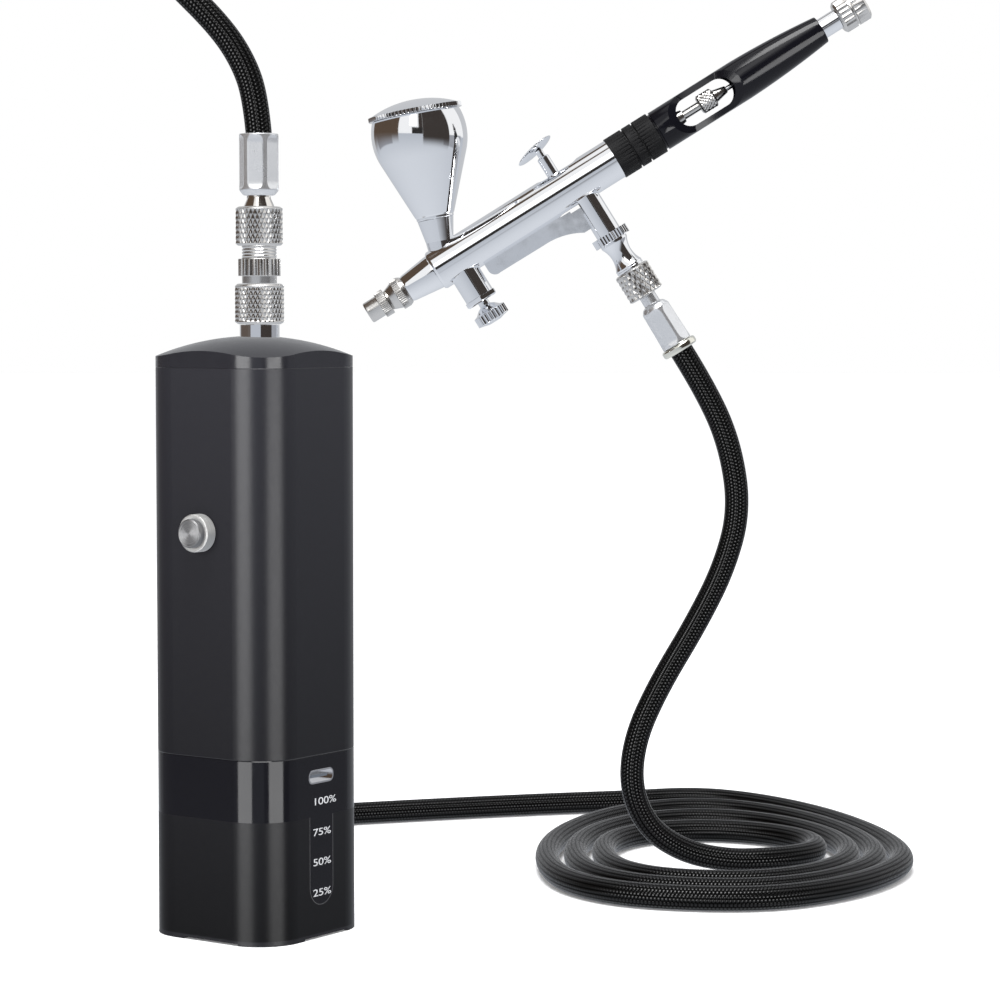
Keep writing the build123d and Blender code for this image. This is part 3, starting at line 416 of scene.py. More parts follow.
def turned(name, spot, corners, bore=0.0, edge=0.12, segments=96, bands=(), crease=32.0):
    """Turned piece from (station, radius) corners, with one bore, or None where they close a loop.

    A band is (start, end, row step, cut), and cut(turn, station from start) is its relief."""
    if bore is None:
        outline = softened([*corners, corners[0]], edge)
    else:
        outline = softened([(corners[0][0], bore), *corners, (corners[-1][0], bore)], edge)
        if bore > 0:
            outline.append(outline[0])
    outline = with_rows(outline, bands)
    closed = bore is None or bore > 0
    points = []
    rings = []
    depths = []
    for row, (station, radius) in enumerate(outline):
        if closed and row == len(outline) - 1:
            rings.append(rings[0])
            depths.append(depths[0])
            continue
        if radius < 1e-6:
            rings.append([len(points)] * segments)
            depths.append([0.0] * segments)
            points.append(spot @ Vector((0, 0, station)))
            continue
        cuts = [band for band in bands if band[0] - 1e-6 <= station <= band[1] + 1e-6]
        ring = []
        depth_row = []
        for segment in range(segments):
            turn = segment / segments
            depth = cuts[0][3](turn, station - cuts[0][0]) if cuts and radius > 1.5 else 0.0
            angle = 2 * math.pi * turn
            ring.append(len(points))
            depth_row.append(depth)
            left = radius - depth
            points.append(spot @ Vector((left * math.cos(angle), left * math.sin(angle), station)))
        rings.append(ring)
        depths.append(depth_row)
    faces = []
    coords = []
    round_length = 2 * math.pi * max(radius for _, radius in outline)

    def add_face(corner_list, where):
        kept = [k for k in range(len(corner_list)) if corner_list[k] != corner_list[k - 1]]
        if len(kept) > 2:
            faces.append([corner_list[k] for k in kept])
            coords.extend(where[k] for k in kept)

    travelled = 0.0
    for row in range(len(outline) - 1):
        run = (outline[row + 1] - outline[row]).length
        for segment in range(segments):
            after = (segment + 1) % segments
            left = segment / segments * round_length
            right = (segment + 1) / segments * round_length
            a, b = rings[row][segment], rings[row][after]
            c, d = rings[row + 1][after], rings[row + 1][segment]
            spots = [(left, travelled), (right, travelled), (right, travelled + run), (left, travelled + run)]
            rise = abs(depths[row][segment] - depths[row + 1][after])
            fall = abs(depths[row][after] - depths[row + 1][segment])
            if rise == fall:
                add_face([a, b, c, d], spots)
            elif rise < fall:
                add_face([a, b, c], spots[:3])
                add_face([a, c, d], [spots[0], spots[2], spots[3]])
            else:
                add_face([a, b, d], [spots[0], spots[1], spots[3]])
                add_face([b, c, d], spots[1:])
        travelled += run
    return mesh_piece(name, points, faces, coords, crease)


def curved(start, middle, end, steps=8):
    """Points along the circle through three (station, radius) points, both ends included."""
    a, b, c = Vector(start), Vector(middle), Vector(end)
    d = 2 * (a.x * (b.y - c.y) + b.x * (c.y - a.y) + c.x * (a.y - b.y))
    aa, bb, cc = a.dot(a), b.dot(b), c.dot(c)
    centre = Vector((
        (aa * (b.y - c.y) + bb * (c.y - a.y) + cc * (a.y - b.y)) / d,
        (aa * (c.x - b.x) + bb * (a.x - c.x) + cc * (b.x - a.x)) / d,
    ))
    swing = (a - centre).angle_signed(c - centre)
    result = []
    for step in range(steps + 1):
        angle = -swing * step / steps
        arm = a - centre
        turned_arm = Vector((
            arm.x * math.cos(angle) - arm.y * math.sin(angle),
            arm.x * math.sin(angle) + arm.y * math.cos(angle),
        ))
        result.append(tuple(centre + turned_arm))
    return result


def groove(value, width):
    """1 at whole numbers, falling to 0 at width away from them."""
    off = abs(value - round(value))
    return max(0.0, 1.0 - off / width)


def diamond(count, pitch, depth, width=0.4):
    """Diamond knurl: two sets of crossing V grooves."""

    def cut(turn, station):
        one = turn * count + station / pitch
        two = turn * count - station / pitch
        return depth * max(groove(one, width), groove(two, width))

    return cut


def straight(count, depth, width=0.35):
    """Straight knurl, or flutes: V grooves along the axis."""

    def cut(turn, station):
        return depth * groove(turn * count, width)

    return cut


TOOTH_STEPS = 8          # mesh divisions across one tooth of a knurl


def knurl_band(start, end, count, pitch, depth, width=0.4):
    return start, end, pitch / TOOTH_STEPS, diamond(count, pitch, depth, width)


def serrated_band(start, end, count, depth, width=0.35):
    return start, end, 1000.0, straight(count, depth, width)


def thread_band(start, end, pitch, depth):
    """Plain rings of a thread's pitch."""
    return start, end, pitch / 6, lambda turn, station: depth * groove(station / pitch, 0.5)


def flats_band(start, end, radius, count, depth, ends=0.0, shift=0.0):
    """Flats cut on a round piece; their ends are rounded over the length ends."""

    def cut(turn, station):
        near = min(station, end - start - station)
        fill = 1.0 if ends == 0 else min(1.0, max(0.0, near / ends))
        half_width = radius - depth * math.sqrt(max(0.0, 1 - (1 - fill) ** 2))
        off = 2 * math.pi * (((turn + shift) * count + 0.5) % 1.0 - 0.5) / count
        return max(0.0, radius - half_width / math.cos(off))

    return start, end, 0.3, cut


# =========================================================================================
# Hose
# =========================================================================================

HOSE = 6.4
FLOOR_LINE = HOSE / 2 + 0.05
TURN_POINTS = 16         # spline points in one turn of the coil
COIL_STEPS = 52          # three turns and a quarter

# the route's points, in millimetres as in the CAD, out of the outlet and over to the coil
SUPPLY_ROUTE = [
    (1.3, 0.0, 195.6),
    (0.5, 0.0, 204.6),
    (-2.4, 0.0, 213.1),
    (-7.9, 0.0, 221.5),
    (-19.2, 0.0, 232.8),
    (-31.0, 6.7, 244.6),
    (-41.9, 21.6, 255.5),
    (-47.4, 41.0, 261.0),
    (-47.2, 60.4, 260.8),
    (-39.6, 75.0, 253.2),
    (-27.5, 82.0, 241.1),
    (-15.0, 82.2, 228.5),
    (-8.9, 82.2, 219.2),
    (-5.7, 82.0, 209.8),
    (-4.9, 82.0, 199.9),
    (-4.9, 82.3, 182.0),
    (-5.2, 82.2, 152.0),
    (-6.6, 82.6, 104.0),
    (-8.4, 83.0, 62.0),
    (-9.4, 84.0, 33.5),
    (-9.9, 89.7, 19.6),
    (-10.4, 100.2, 9.0),
    (-10.8, 114.0, FLOOR_LINE),
    (-10.2, 129.4, FLOOR_LINE),
    (-3.4, 143.8, FLOOR_LINE),
    (9.0, 154.2, FLOOR_LINE),
    (28.0, 160.9, FLOOR_LINE),
    (52.0, 168.9, FLOOR_LINE),
    (78.0, 176.3, FLOOR_LINE),
    (97.0, 180.5, FLOOR_LINE),
]
# out of the middle of the coil and up to the airbrush
RISER_ROUTE = [
    (147.8, 92.3, FLOOR_LINE),
    (141.7, 83.9, FLOOR_LINE),
    (132.6, 78.6, FLOOR_LINE),
    (122.2, 77.4, FLOOR_LINE),
    (110.6, 76.4, 5.6),
    (100.4, 73.8, 12.3),
    (95.2, 72.4, 23.6),
    (96.4, 72.6, 37.2),
    (103.0, 73.8, 51.6),
    (113.1, 76.6, 68.0),
    (120.8, 79.0, 83.0),
    (124.9, 80.0, 98.5),
    (122.4, 80.0, 115.4),
    (116.421, 80.0, 129.697),
]


def coil_points():
    """Turns of the coil on the floor, from its back clockwise inwards; they fan out at the back."""
    points = []
    for step in range(COIL_STEPS):
        turn = step / TURN_POINTS
        angle = math.pi / 2 - 2 * math.pi * turn
        right = 171.0 - 7.17 * (turn - 0.25)
        left = 72.2 + 7.95 * (turn - 0.75)
        front = 20.6 + 11.6 * (turn - 0.5)
        back = 188.2 - 20.4 * turn
        # each turn is widest near its front, and fullest at its front left
        widest = 84.0 + 3.0 * turn
        cos, sin = math.cos(angle), math.sin(angle)
        fullness = 2.6 if cos < 0 and sin < 0 else 1.7 + 0.1 * turn
        reach_x = math.copysign(abs(cos) ** (2 / fullness), cos)
        reach_y = abs(sin) ** (2 / fullness)
        x = (left + right) / 2 + (right - left) / 2 * reach_x
        y = widest + (back - widest) * reach_y if sin > 0 else widest - (widest - front) * reach_y
        points.append((x, y, FLOOR_LINE))
    return points


def smooth_line(points):
    """Points along one smooth spline that has these points as its controls, in metres."""
    curve = bpy.data.curves.new("hose_line", "CURVE")
    curve.dimensions = "3D"
    spline = curve.splines.new("NURBS")
    spline.points.add(len(points) - 1)
    for target, point in zip(spline.points, points):
        target.co = (point[0] * MM, point[1] * MM, point[2] * MM, 1)
    spline.order_u = 3
    spline.use_endpoint_u = True
    spline.resolution_u = 20
    holder = bpy.data.objects.new("hose_line", curve)
    bpy.context.scene.collection.objects.link(holder)
    bpy.context.view_layer.update()
    mesh = bpy.data.meshes.new_from_object(holder)
    line = [vertex.co.copy() for vertex in mesh.vertices]
    bpy.data.objects.remove(holder)
    bpy.data.meshes.remove(mesh)
    return line


def tube(name, line, radius, segments=28):
    """Closed tube along a line, with UVs in mm along it and turns round it."""
    points = []
    tangents = []
    for index in range(len(line)):
        ahead = line[min(index + 1, len(line) - 1)]
        behind = line[max(index - 1, 0)]
        tangents.append((ahead - behind).normalized())
    normal = tangents[0].orthogonal().normalized()
    faces = []
    coords = []
    travelled = 0.0
    for index, (here, tangent) in enumerate(zip(line, tangents)):
        normal = (normal - tangent * normal.dot(tangent)).normalized()
        side = tangent.cross(normal)
        for segment in range(segments):
            angle = 2 * math.pi * segment / segments
            points.append(here + (normal * math.cos(angle) + side * math.sin(angle)) * radius)
        if index == 0:
            continue
        run = (here - line[index - 1]).length / MM
        first = (index - 1) * segments
        second = first + segments
        for segment in range(segments):
            after = (segment + 1) % segments
            faces.append([first + segment, first + after, second + after, second + segment])
            low, high = segment / segments, (segment + 1) / segments
            coords += [(travelled, low), (travelled, high), (travelled + run, high), (travelled + run, low)]
        travelled += run
    last = (len(line) - 1) * segments
    faces.append(list(range(segments))[::-1])
    faces.append(list(range(last, last + segments)))
    coords += [(0.0, 0.0)] * segments + [(travelled, 0.0)] * segments
    return mesh_piece(name, points, faces, coords, 60.0)


def build_hose():
    valve_end = VALVE @ Vector((0, 0, reach("ferrule_airbrush", VALVE)[0]))
    route = SUPPLY_ROUTE + coil_points() + RISER_ROUTE + [tuple(valve_end / MM)]
    line = smooth_line(route)
    length = sum((b - a).length for a, b in zip(line, line[1:]))
    hose = tube("braided_hose", line, HOSE / 2 * MM)
    dress(hose, "hose_braid")
    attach(hose, BODY_OF["hose_coil"])
    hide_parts("hose_supply_run", "hose_coil", "hose_riser")
    print("hose length", round(length, 4))


build_hose()


# =========================================================================================
# Outlet fittings
# =========================================================================================


def build_outlet():
    low, high, wide = reach("coupling_nut", OUTLET)
    body = [(low, wide - 0.9), (low + 0.6, wide), (low + 0.7, wide), (high - 0.7, wide)]
    body += [(high - 0.6, wide), (high, wide - 0.7)]
    knurl = knurl_band(low + 0.7, high - 0.7, 32, 2.2, 0.3)
    nut = turned("coupling_nut_knurled", OUTLET, body, 3.0, 0.3, 32 * TOOTH_STEPS, [knurl])
    stand_for(nut, "coupling_nut", "cut_plate")

    low, high, wide = reach("coupling_adapter", OUTLET)
    ring_start, ring_end = low + 1.8, low + 6.0
    body = [(low, 4.25), (ring_start, 4.25), (ring_start, wide), (ring_end, wide), (ring_end, 4.3)]
    body += [(high - 3.65, 4.3), (high - 3.65, 3.0), (high, 3.0)]
    flutes = serrated_band(ring_start + 0.1, ring_end - 0.1, 20, 0.55, 0.3)
    thread = thread_band(ring_end + 0.3, high - 3.8, 0.75, 0.3)
    adapter = turned("coupling_adapter_fluted", OUTLET, body, 1.2, 0.12, 20 * TOOTH_STEPS, [flutes, thread])
    stand_for(adapter, "coupling_adapter", "cut_plate")

    low, high, wide = reach("hose_nut_outlet", OUTLET)
    body = [(low, wide - 0.5), (low + 0.5, wide), (low + 0.6, wide), (high - 0.6, wide)]
    body += [(high - 0.5, wide), (high, wide - 0.7)]
    knurl = knurl_band(low + 0.6, high - 0.6, 30, 2.4, 0.32)
    nut = turned("hose_nut_outlet_knurled", OUTLET, body, 3.1, 0.25, 30 * TOOTH_STEPS, [knurl])
    stand_for(nut, "hose_nut_outlet", "cut_plate")

    low, high, wide = reach("ferrule_outlet", OUTLET)
    body = [(low, wide - 1.0), (low + 1.2, wide), (high, wide)]
    crimp = flats_band(low + 1.6, high - 0.5, wide, 6, 0.42, 1.8, 0.02)
    ferrule = turned("ferrule_outlet_crimped", OUTLET, body, 1.2, 0.35, 144, [crimp])
    stand_for(ferrule, "ferrule_outlet", "ferrule_plate")


# =========================================================================================
# Power button and charge marks
# =========================================================================================


def build_button():
    low, high, wide = reach("button_bezel", BUTTON)
    body = [(low, 3.65), (high - 3.0, 3.65), (high - 3.0, wide), (high, wide), (high, 3.45), (low, 3.45)]
    stand_for(turned("button_bezel_turned", BUTTON, body, None, 0.25, 96), "button_bezel", "bezel_steel")
    low, high, wide = reach("power_button", BUTTON)
    face = [(low, 1.5), (high - 4.5, 1.5), (high - 4.5, wide), (high - 0.35, wide), (high - 0.05, wide - 0.3)]
    # turned rings on the button's face, and the small centre
    for ring in range(12):
        radius = wide - 0.45 - ring * 0.23
        face += [(high - 0.02, radius), (high - 0.1, radius - 0.11)]
    face += [(high - 0.05, 0.3), (high - 0.05, 0.12), (high - 0.18, 0.02)]
    button = turned("power_button_turned", BUTTON, face, 0.0, 0.06, 96, (), 60.0)
    stand_for(button, "power_button", "button_steel")


def build_tongue_highlight():
    """Painted highlight: a flat, lighter strip, flush on the face, for the light caught on the edge of the
    level window's tongue where it lies in the battery housing.
    """
    low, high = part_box("usb_shell")
    middle = (low + high) / 2
    face = max(vertex.co.dot(FACE_RIGHT) for vertex in NODES["battery_housing"].data.vertices)
    across = UP.cross(FACE_RIGHT)
    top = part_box("battery_housing")[1].z / MM
    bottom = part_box("battery_collar")[0].z / MM
    collar = NODES["battery_collar"].data.vertices
    tongue = [vertex.co.dot(across) for vertex in collar if vertex.co.z < (top - 2) * MM]
    radius = (max(tongue) - min(tongue)) / 2 / MM
    outline = [(-radius, top)]
    outline += [
        (radius * math.cos(math.radians(angle)), bottom + radius + radius * math.sin(math.radians(angle)))
        for angle in range(180, 361, 6)
    ]
    outline.append((radius, top))
    start = across * middle.dot(across) + FACE_RIGHT * (face + 0.005 * MM)
    points = []
    for side, height in outline:
        out = Vector((side, min(0.0, height - bottom - radius))).normalized() * 0.11
        for sign in (-1, 1):
            points.append(start + across * (side + sign * out.x) * MM + UP * (height + sign * out.y) * MM)
    faces = [[2 * k, 2 * k + 1, 2 * k + 3, 2 * k + 2] for k in range(len(outline) - 1)]
    # painted highlight: the strip is flat and flush, lighter only in its colour
    edge = mesh_piece("tongue_edge", points, faces)
    dress(edge, "painted_seam_highlight")
    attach(edge, BODY_OF["battery_collar"])


def build_marks():
    """Charge marks beside the level window: plain numbers on the face with the socket."""
    low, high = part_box("usb_shell")
    socket = (low + high) / 2
    face = max(vertex.co.dot(FACE_RIGHT) for vertex in NODES["battery_housing"].data.vertices)
    across = UP.cross(FACE_RIGHT)
    start = across * (socket.dot(across) - 3.4 * MM) + FACE_RIGHT * (face + 0.01 * MM)
    for label, height in (("100%", 32.75), ("75%", 25.25), ("50%", 17.9), ("25%", 10.4)):
        letters = bpy.data.curves.new("mark", "FONT")
        letters.body = label
        letters.size = 2.5 * MM
        letters.extrude = 0.03 * MM
        letters.space_character = 0.97
        holder = bpy.data.objects.new("mark", letters)
        bpy.context.scene.collection.objects.link(holder)
        bpy.context.view_layer.update()
        mesh = bpy.data.meshes.new_from_object(holder)
        bpy.data.objects.remove(holder)
        turn = Matrix((across, UP, FACE_RIGHT)).transposed().to_4x4()
        wide = Matrix.Diagonal((1.74, 1, 1, 1))
        mesh.transform(Matrix.Translation(start + UP * height * MM) @ turn @ wide)
        mark = bpy.data.objects.new("charge_mark_" + label.strip("%"), mesh)
        bpy.context.scene.collection.objects.link(mark)
        dress(mark, "mark_white")
        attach(mark, BODY_OF["battery_housing"])


# =========================================================================================
# Airbrush
# =========================================================================================


def build_front():
    low, high, wide = reach("crown_cap", NEEDLE)
    body = [(low, 2.7), (low + 0.3, 2.95), (high - 2.4, 2.95), (high - 2.4, wide), (high, wide)]
    ring = serrated_band(high - 2.3, high - 0.1, 40, 0.28)
    cap = turned("crown_cap_serrated", NEEDLE, body, 2.1, 0.15, 40 * TOOTH_STEPS, [ring])
    stand_for(cap, "crown_cap", "cut_plate")

    low, high, wide = reach("nozzle_cap", NEEDLE)
    flare = low + 2.7
    body = [(low, 2.75), (flare, wide - 0.5), (flare, wide), (flare + 1.9, wide), (flare + 2.0, wide)]
    body += [(high, wide - 0.45)]
    ring = serrated_band(flare + 0.1, flare + 1.9, 42, 0.3)
    cap = turned("nozzle_cap_serrated", NEEDLE, body, 2.3, 0.15, 42 * TOOTH_STEPS, [ring])
    stand_for(cap, "nozzle_cap", "cut_plate")

    low, high, wide = reach("airbrush_head", NEEDLE)
    body = [(low, 3.6), (low + 0.8, 3.85), (high - 0.4, wide), (high, wide)]
    stand_for(turned("airbrush_head_cone", NEEDLE, body, 1.9, 0.1, 128), "airbrush_head")


def build_cup():
    belly = curved((16.8, 11.7), (22.5, 12.9), (28.4, 11.9), 20)
    inside = curved((28.4, 11.1), (22.5, 12.1), (17.2, 10.9), 20)
    foot = [(0.0, 1.8), (0.0, 4.75), (0.25, 5.05), (0.9, 5.1), (1.2, 5.35)]
    outline = [*foot, *belly, *inside, (1.4, 4.4), (0.9, 1.8)]
    stand_for(turned("paint_cup_spun", CUP, outline, None, 0.12, 160), "paint_cup")

    low, high, wide = reach("cup_lid", CUP)
    seat = low + 1.9
    brim = seat + 1.2
    dome = curved((brim, wide - 0.5), ((brim + high) / 2 + 0.72, (wide - 0.5) * 0.52), (high, 0.0), 16)
    body = [(seat, 10.1), (low, 10.1), (low, 10.8), (seat, 10.8), (seat, wide), (brim, wide), *dome]
    outline = [(seat, 0.0), *body]
    ring = serrated_band(seat + 0.05, brim - 0.02, 72, 0.32, 0.45)
    lid = turned("cup_lid_spun", CUP, body[:-1], 0.0, 0.1, 72 * 6, [ring])
    stand_for(lid, "cup_lid")


def build_air_control():
    low, high, wide = reach("air_control_seat", CONTROL)
    body = [(low, wide - 0.5), (low + 0.4, wide), (low + 1.55, wide), (low + 1.6, 3.0), (high, 3.0)]
    hexagon = flats_band(low, low + 1.58, wide, 6, 0.6, 0.0, 1 / 12)
    seat = turned("air_control_seat_hex", CONTROL, body, 1.55, 0.1, 144, [hexagon], 20.0)
    stand_for(seat, "air_control_seat")

    low, high, wide = reach("air_control_knob", CONTROL)
    wheel = low + 0.7
    body = [(low, 1.7), (low + 0.4, 3.2), (wheel, wide), (wheel + 0.1, wide), (wheel + 2.4, wide)]
    body += [(wheel + 2.5, wide), (wheel + 2.9, 3.6), (wheel + 3.9, 2.5), (wheel + 4.4, 1.5)]
    body += [(high - 0.4, 1.5), (high, 0.9)]
    ring = serrated_band(wheel + 0.1, wheel + 2.4, 24, 0.45)
    knob = turned("air_control_wheel", CONTROL, body, 0.0, 0.15, 24 * TOOTH_STEPS, [ring])
    stand_for(knob, "air_control_knob")


def build_valve():
    low, high, wide = reach("valve_casing", VALVE)
    flange = low + 3.1
    body = [(low, 2.5), (flange, 2.5), (flange, wide), (flange + 0.1, wide), (flange + 2.3, wide)]
    body += [(flange + 2.4, wide), (flange + 2.4, 2.55), (high, 2.55)]
    ring = serrated_band(flange + 0.1, flange + 2.3, 34, 0.3)
    casing = turned("valve_casing_serrated", VALVE, body, 1.3, 0.2, 34 * TOOTH_STEPS, [ring])
    stand_for(casing, "valve_casing")

    low, high, wide = reach("quick_adapter", VALVE)
    waist = curved((low + 1.0, wide), ((low + high) / 2 - 0.2, 2.95), (high - 0.7, 3.9), 16)
    body = [(low, wide - 0.1), (low + 0.5, wide), (low + 0.55, wide - 0.15), *waist]
    body += [(high, 3.9), (high, 2.55), (high - 3.2, 2.55), (high - 3.2, 1.4), (low, 1.4)]
    stand_for(turned("quick_adapter_waisted", VALVE, body, None, 0.1, 128), "quick_adapter")

    low, high, wide = reach("hose_nut_airbrush", VALVE)
    body = [(low, wide - 0.6), (low + 0.4, wide), (low + 0.5, wide), (high - 0.5, wide)]
    body += [(high - 0.4, wide), (high, wide - 0.6)]
    knurl = knurl_band(low + 0.5, high - 0.5, 20, 2.7, 0.45, 0.45)
    nut = turned("hose_nut_airbrush_knurled", VALVE, body, 2.3, 0.25, 20 * TOOTH_STEPS, [knurl])
    stand_for(nut, "hose_nut_airbrush", "cut_plate")

    low, high, wide = reach("ferrule_airbrush", VALVE)
    flange = low + 2.0
    sleeve = high - 11.1
    barrel = wide - 0.8
    body = [(flange, 3.3), (flange + 0.1, barrel), (sleeve - 1.6, barrel - 0.25)]
    body += [(sleeve - 0.4, barrel - 1.0), (sleeve, 2.3), (high, 2.2)]
    crimp = flats_band(flange + 0.6, sleeve - 1.6, barrel, 6, 0.4, 2.0, 0.04)
    ferrule = turned("ferrule_airbrush_crimped", VALVE, body, 1.2, 0.3, 144, [crimp])
    stand_for(ferrule, "ferrule_airbrush", "ferrule_plate")
    rim = [(low, wide - 0.35), (low + 0.5, wide), (flange - 0.4, wide), (flange, wide - 0.4)]
    rolled = turned("ferrule_airbrush_rim", VALVE, rim, 3.15, 0.4, 96)
    dress(rolled, "ferrule_rim")
    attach(rolled, BODY_OF["ferrule_airbrush"])


def build_fin_web():
    """Closes, in the picture only, the notch that the CAD trigger well leaves above the fin."""
    outline = [(57.1, -5.6), (57.1, -8.4), (64.3, -8.4), (64.3, -6.2), (60.6, -6.2), (60.6, -5.6)]
    count = len(outline)
    half = 1.29
    sides = (-half, half)
    points = [NEEDLE @ Vector((side, -height, station)) for side in sides for station, height in outline]
    faces = [list(range(count))[::-1], list(range(count, 2 * count))]
    faces += [[k, (k + 1) % count, (k + 1) % count + count, k + count] for k in range(count)]
    web = mesh_piece("fin_web", points, faces)
    dress(web, "chrome")
    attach(web, BODY_OF["airbrush_body"])


def build_trigger():
    """Dished oval pad on a slim neck; its fork inside the body stays out of sight."""
    lean = math.radians(PAD_LEAN)
    normal = SQUARE * math.cos(lean) - ALONG * math.sin(lean)
    normal = Matrix.Rotation(math.radians(PAD_ROLL), 3, ALONG) @ normal
    pad_spot = place(NEEDLE @ Vector((0, -13.4, 61.2)), normal, ALONG) @ Matrix.Diagonal((1, 0.8, 1, 1))
    under = curved((-0.72, 1.25), (-0.65, 3.6), (-0.28, 5.6), 8)
    dish = curved((0.0, 5.45), (-0.2, 2.8), (-0.32, 0.0), 8)
    pad = turned("trigger_pad", pad_spot, [*under, (-0.12, 5.8), *dish[:-1]], 0.0, 0.12, 96, (), 50.0)
    stem_spot = on_brush(62.1, 0.0, SQUARE)
    neck = [(4.0, 1.0), (12.2, 1.0), (12.8, 1.15)]
    stem = turned("trigger_neck", stem_spot, neck, 0.0, 0.1, 48)
    dress(stem, "chrome")
    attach(stem, BODY_OF["trigger"])
    stand_for(pad, "trigger")


PAD_LEAN = 11.4
PAD_ROLL = -13.0


def build_handle():
    low, high, wide = reach("grip_collar", NEEDLE)
    body = [(low, wide)]
    bands = []
    for start, end in ((0.0, 5.1), (5.6, 8.2), (8.7, high - low)):
        if start > 0:
            body += [(low + start - 0.5, wide - 0.55), (low + start, wide - 0.55), (low + start, wide)]
        bands.append(serrated_band(low + start + 0.1, low + end - 0.1, 34, 0.28, 0.3))
        body += [(low + start + 0.1, wide), (low + end - 0.1, wide), (low + end, wide)]
    collar = turned("grip_collar_ribbed", NEEDLE, body, 3.6, 0.12, 34 * TOOTH_STEPS, bands)
    stand_for(collar, "grip_collar", "grip_black")

    low, high, wide = reach("handle", NEEDLE)
    tail = curved((118.0, wide), (130.0, 5.1), (high, 3.8), 16)
    body = [(low, 3.6), (low, 5.2), (low + 0.7, 5.2), (low + 0.7, wide), *tail, (high, 2.85), (124.0, 2.85)]
    body += [(119.0, 4.3), (94.0, 4.3), (93.0, 3.6)]
    handle = turned("handle_turned", NEEDLE, body, None, 0.25, 160)
    for side in (0, 1):
        cut_window(handle, side)
    stand_for(handle, "handle")

    low, high, wide = reach("chuck_nut", NEEDLE)
    body = [(low, wide - 0.5), (low + 0.5, wide), (low + 0.6, wide), (low + 4.3, wide), (low + 4.4, wide)]
    body += [(low + 4.8, wide - 0.5), (low + 4.8, 1.8), (high, 0.95)]
    knurl = knurl_band(low + 0.5, low + 4.4, 18, 1.2, 0.2, 0.4)
    chuck = turned("chuck_nut_knurled", NEEDLE, body, 0.67, 0.25, 18 * TOOTH_STEPS, [knurl])
    stand_for(chuck, "chuck_nut", "cut_plate")

    low, high, wide = reach("preset_knob", NEEDLE)
    head = high - 8.2
    body = [(low, 1.5), (head, 1.5), (head, wide - 0.65), (head + 0.6, wide), (head + 0.7, wide)]
    body += [(head + 3.6, wide), (head + 3.7, wide), (head + 3.8, wide - 0.5), (head + 4.3, wide - 0.5)]
    body += [(head + 4.4, wide), (head + 4.5, wide), (high - 0.7, wide), (high - 0.6, wide)]
    body += [(high, wide - 0.7), (high, 3.1), (high - 0.35, 2.9)]
    rings = ((head + 0.7, head + 3.6), (head + 4.5, high - 0.7))
    bands = [serrated_band(start, end, 18, 0.42, 0.4) for start, end in rings]
    knob = turned("preset_knob_ribbed", NEEDLE, body, 0.0, 0.12, 18 * TOOTH_STEPS, bands)
    stand_for(knob, "preset_knob", "cut_plate")


WINDOW_STATION = 106.8
WINDOW_STEPS = 20


def slot_edge(length, tall):
    """Points round a slot with half-round ends, in (along, across)."""
    radius = tall / 2
    straight_half = length / 2 - radius
    edge = []
    for end, start in ((1, -90), (-1, 90)):
        for step in range(WINDOW_STEPS + 1):
            angle = math.radians(start + 180 * step / WINDOW_STEPS)
            edge.append((end * straight_half + radius * math.cos(angle), radius * math.sin(angle)))
    return edge


def cut_window(handle, side):
    """Cuts the handle's oval window, with its wide bevel, from one side."""
    inner = slot_edge(17.2, 7.7)
    outer = slot_edge(22.2, 11.2)
    layers = []
    for edge, cylinder in ((inner, 0.0), (inner, 4.25), (outer, 5.76), (outer, 9.0)):
        layer = []
        for along, across in edge:
            depth = math.sqrt(max(0.04, cylinder**2 - across**2)) if cylinder < 9 else 9.0
            if cylinder == 0.0:
                depth = -0.05
            layer.append(NEEDLE @ Vector((depth * (1 - 2 * side), across, WINDOW_STATION + along)))
        layers.append(layer)
    count = len(inner)
    points = [point for layer in layers for point in layer]
    faces = [list(range(count)), [3 * count + k for k in range(count)][::-1]]
    for layer in range(3):
        this, following = layer * count, (layer + 1) * count
        for k in range(count):
            after = (k + 1) % count
            faces.append([following + k, following + after, this + after, this + k])
    if side == 1:
        faces = [face[::-1] for face in faces]
    cutter = mesh_piece("window_cutter", points, faces)
    cut = handle.modifiers.new("window", "BOOLEAN")
    cut.operation = "DIFFERENCE"
    cut.solver = "EXACT"
    cut.object = cutter
    bpy.context.view_layer.update()
    graph = bpy.context.evaluated_depsgraph_get()
    mesh = bpy.data.meshes.new_from_object(handle.evaluated_get(graph))
    handle.modifiers.clear()
    handle.data = mesh
    handle.data.set_sharp_from_angle(angle=math.radians(32))
    bpy.data.objects.remove(cutter)


build_outlet()
build_button()
build_tongue_highlight()
build_marks()
build_front()
build_cup()
build_air_control()
build_valve()
build_fin_web()
build_trigger()
build_handle()


# =========================================================================================
# Floor, light, camera
# =========================================================================================


def build_floor():
    size = 6.0
    mesh = bpy.data.meshes.new("floor")
    corners = [(-size, -size, 0), (size, -size, 0), (size, size, 0), (-size, size, 0)]
    mesh.from_pydata(corners, [], [(0, 1, 2, 3)])
    floor = bpy.data.objects.new("floor", mesh)
    bpy.context.scene.collection.objects.link(floor)
    shade = Shade("floor_paper", (0.93, 0.93, 0.94), 0.9, Emission_Color=(1, 1, 1, 1), Emission_Strength=0.12)
    shade.mottle(0.01, 0.85, 0.95)
    mesh.materials.append(shade.material)
    floor.visible_glossy = False


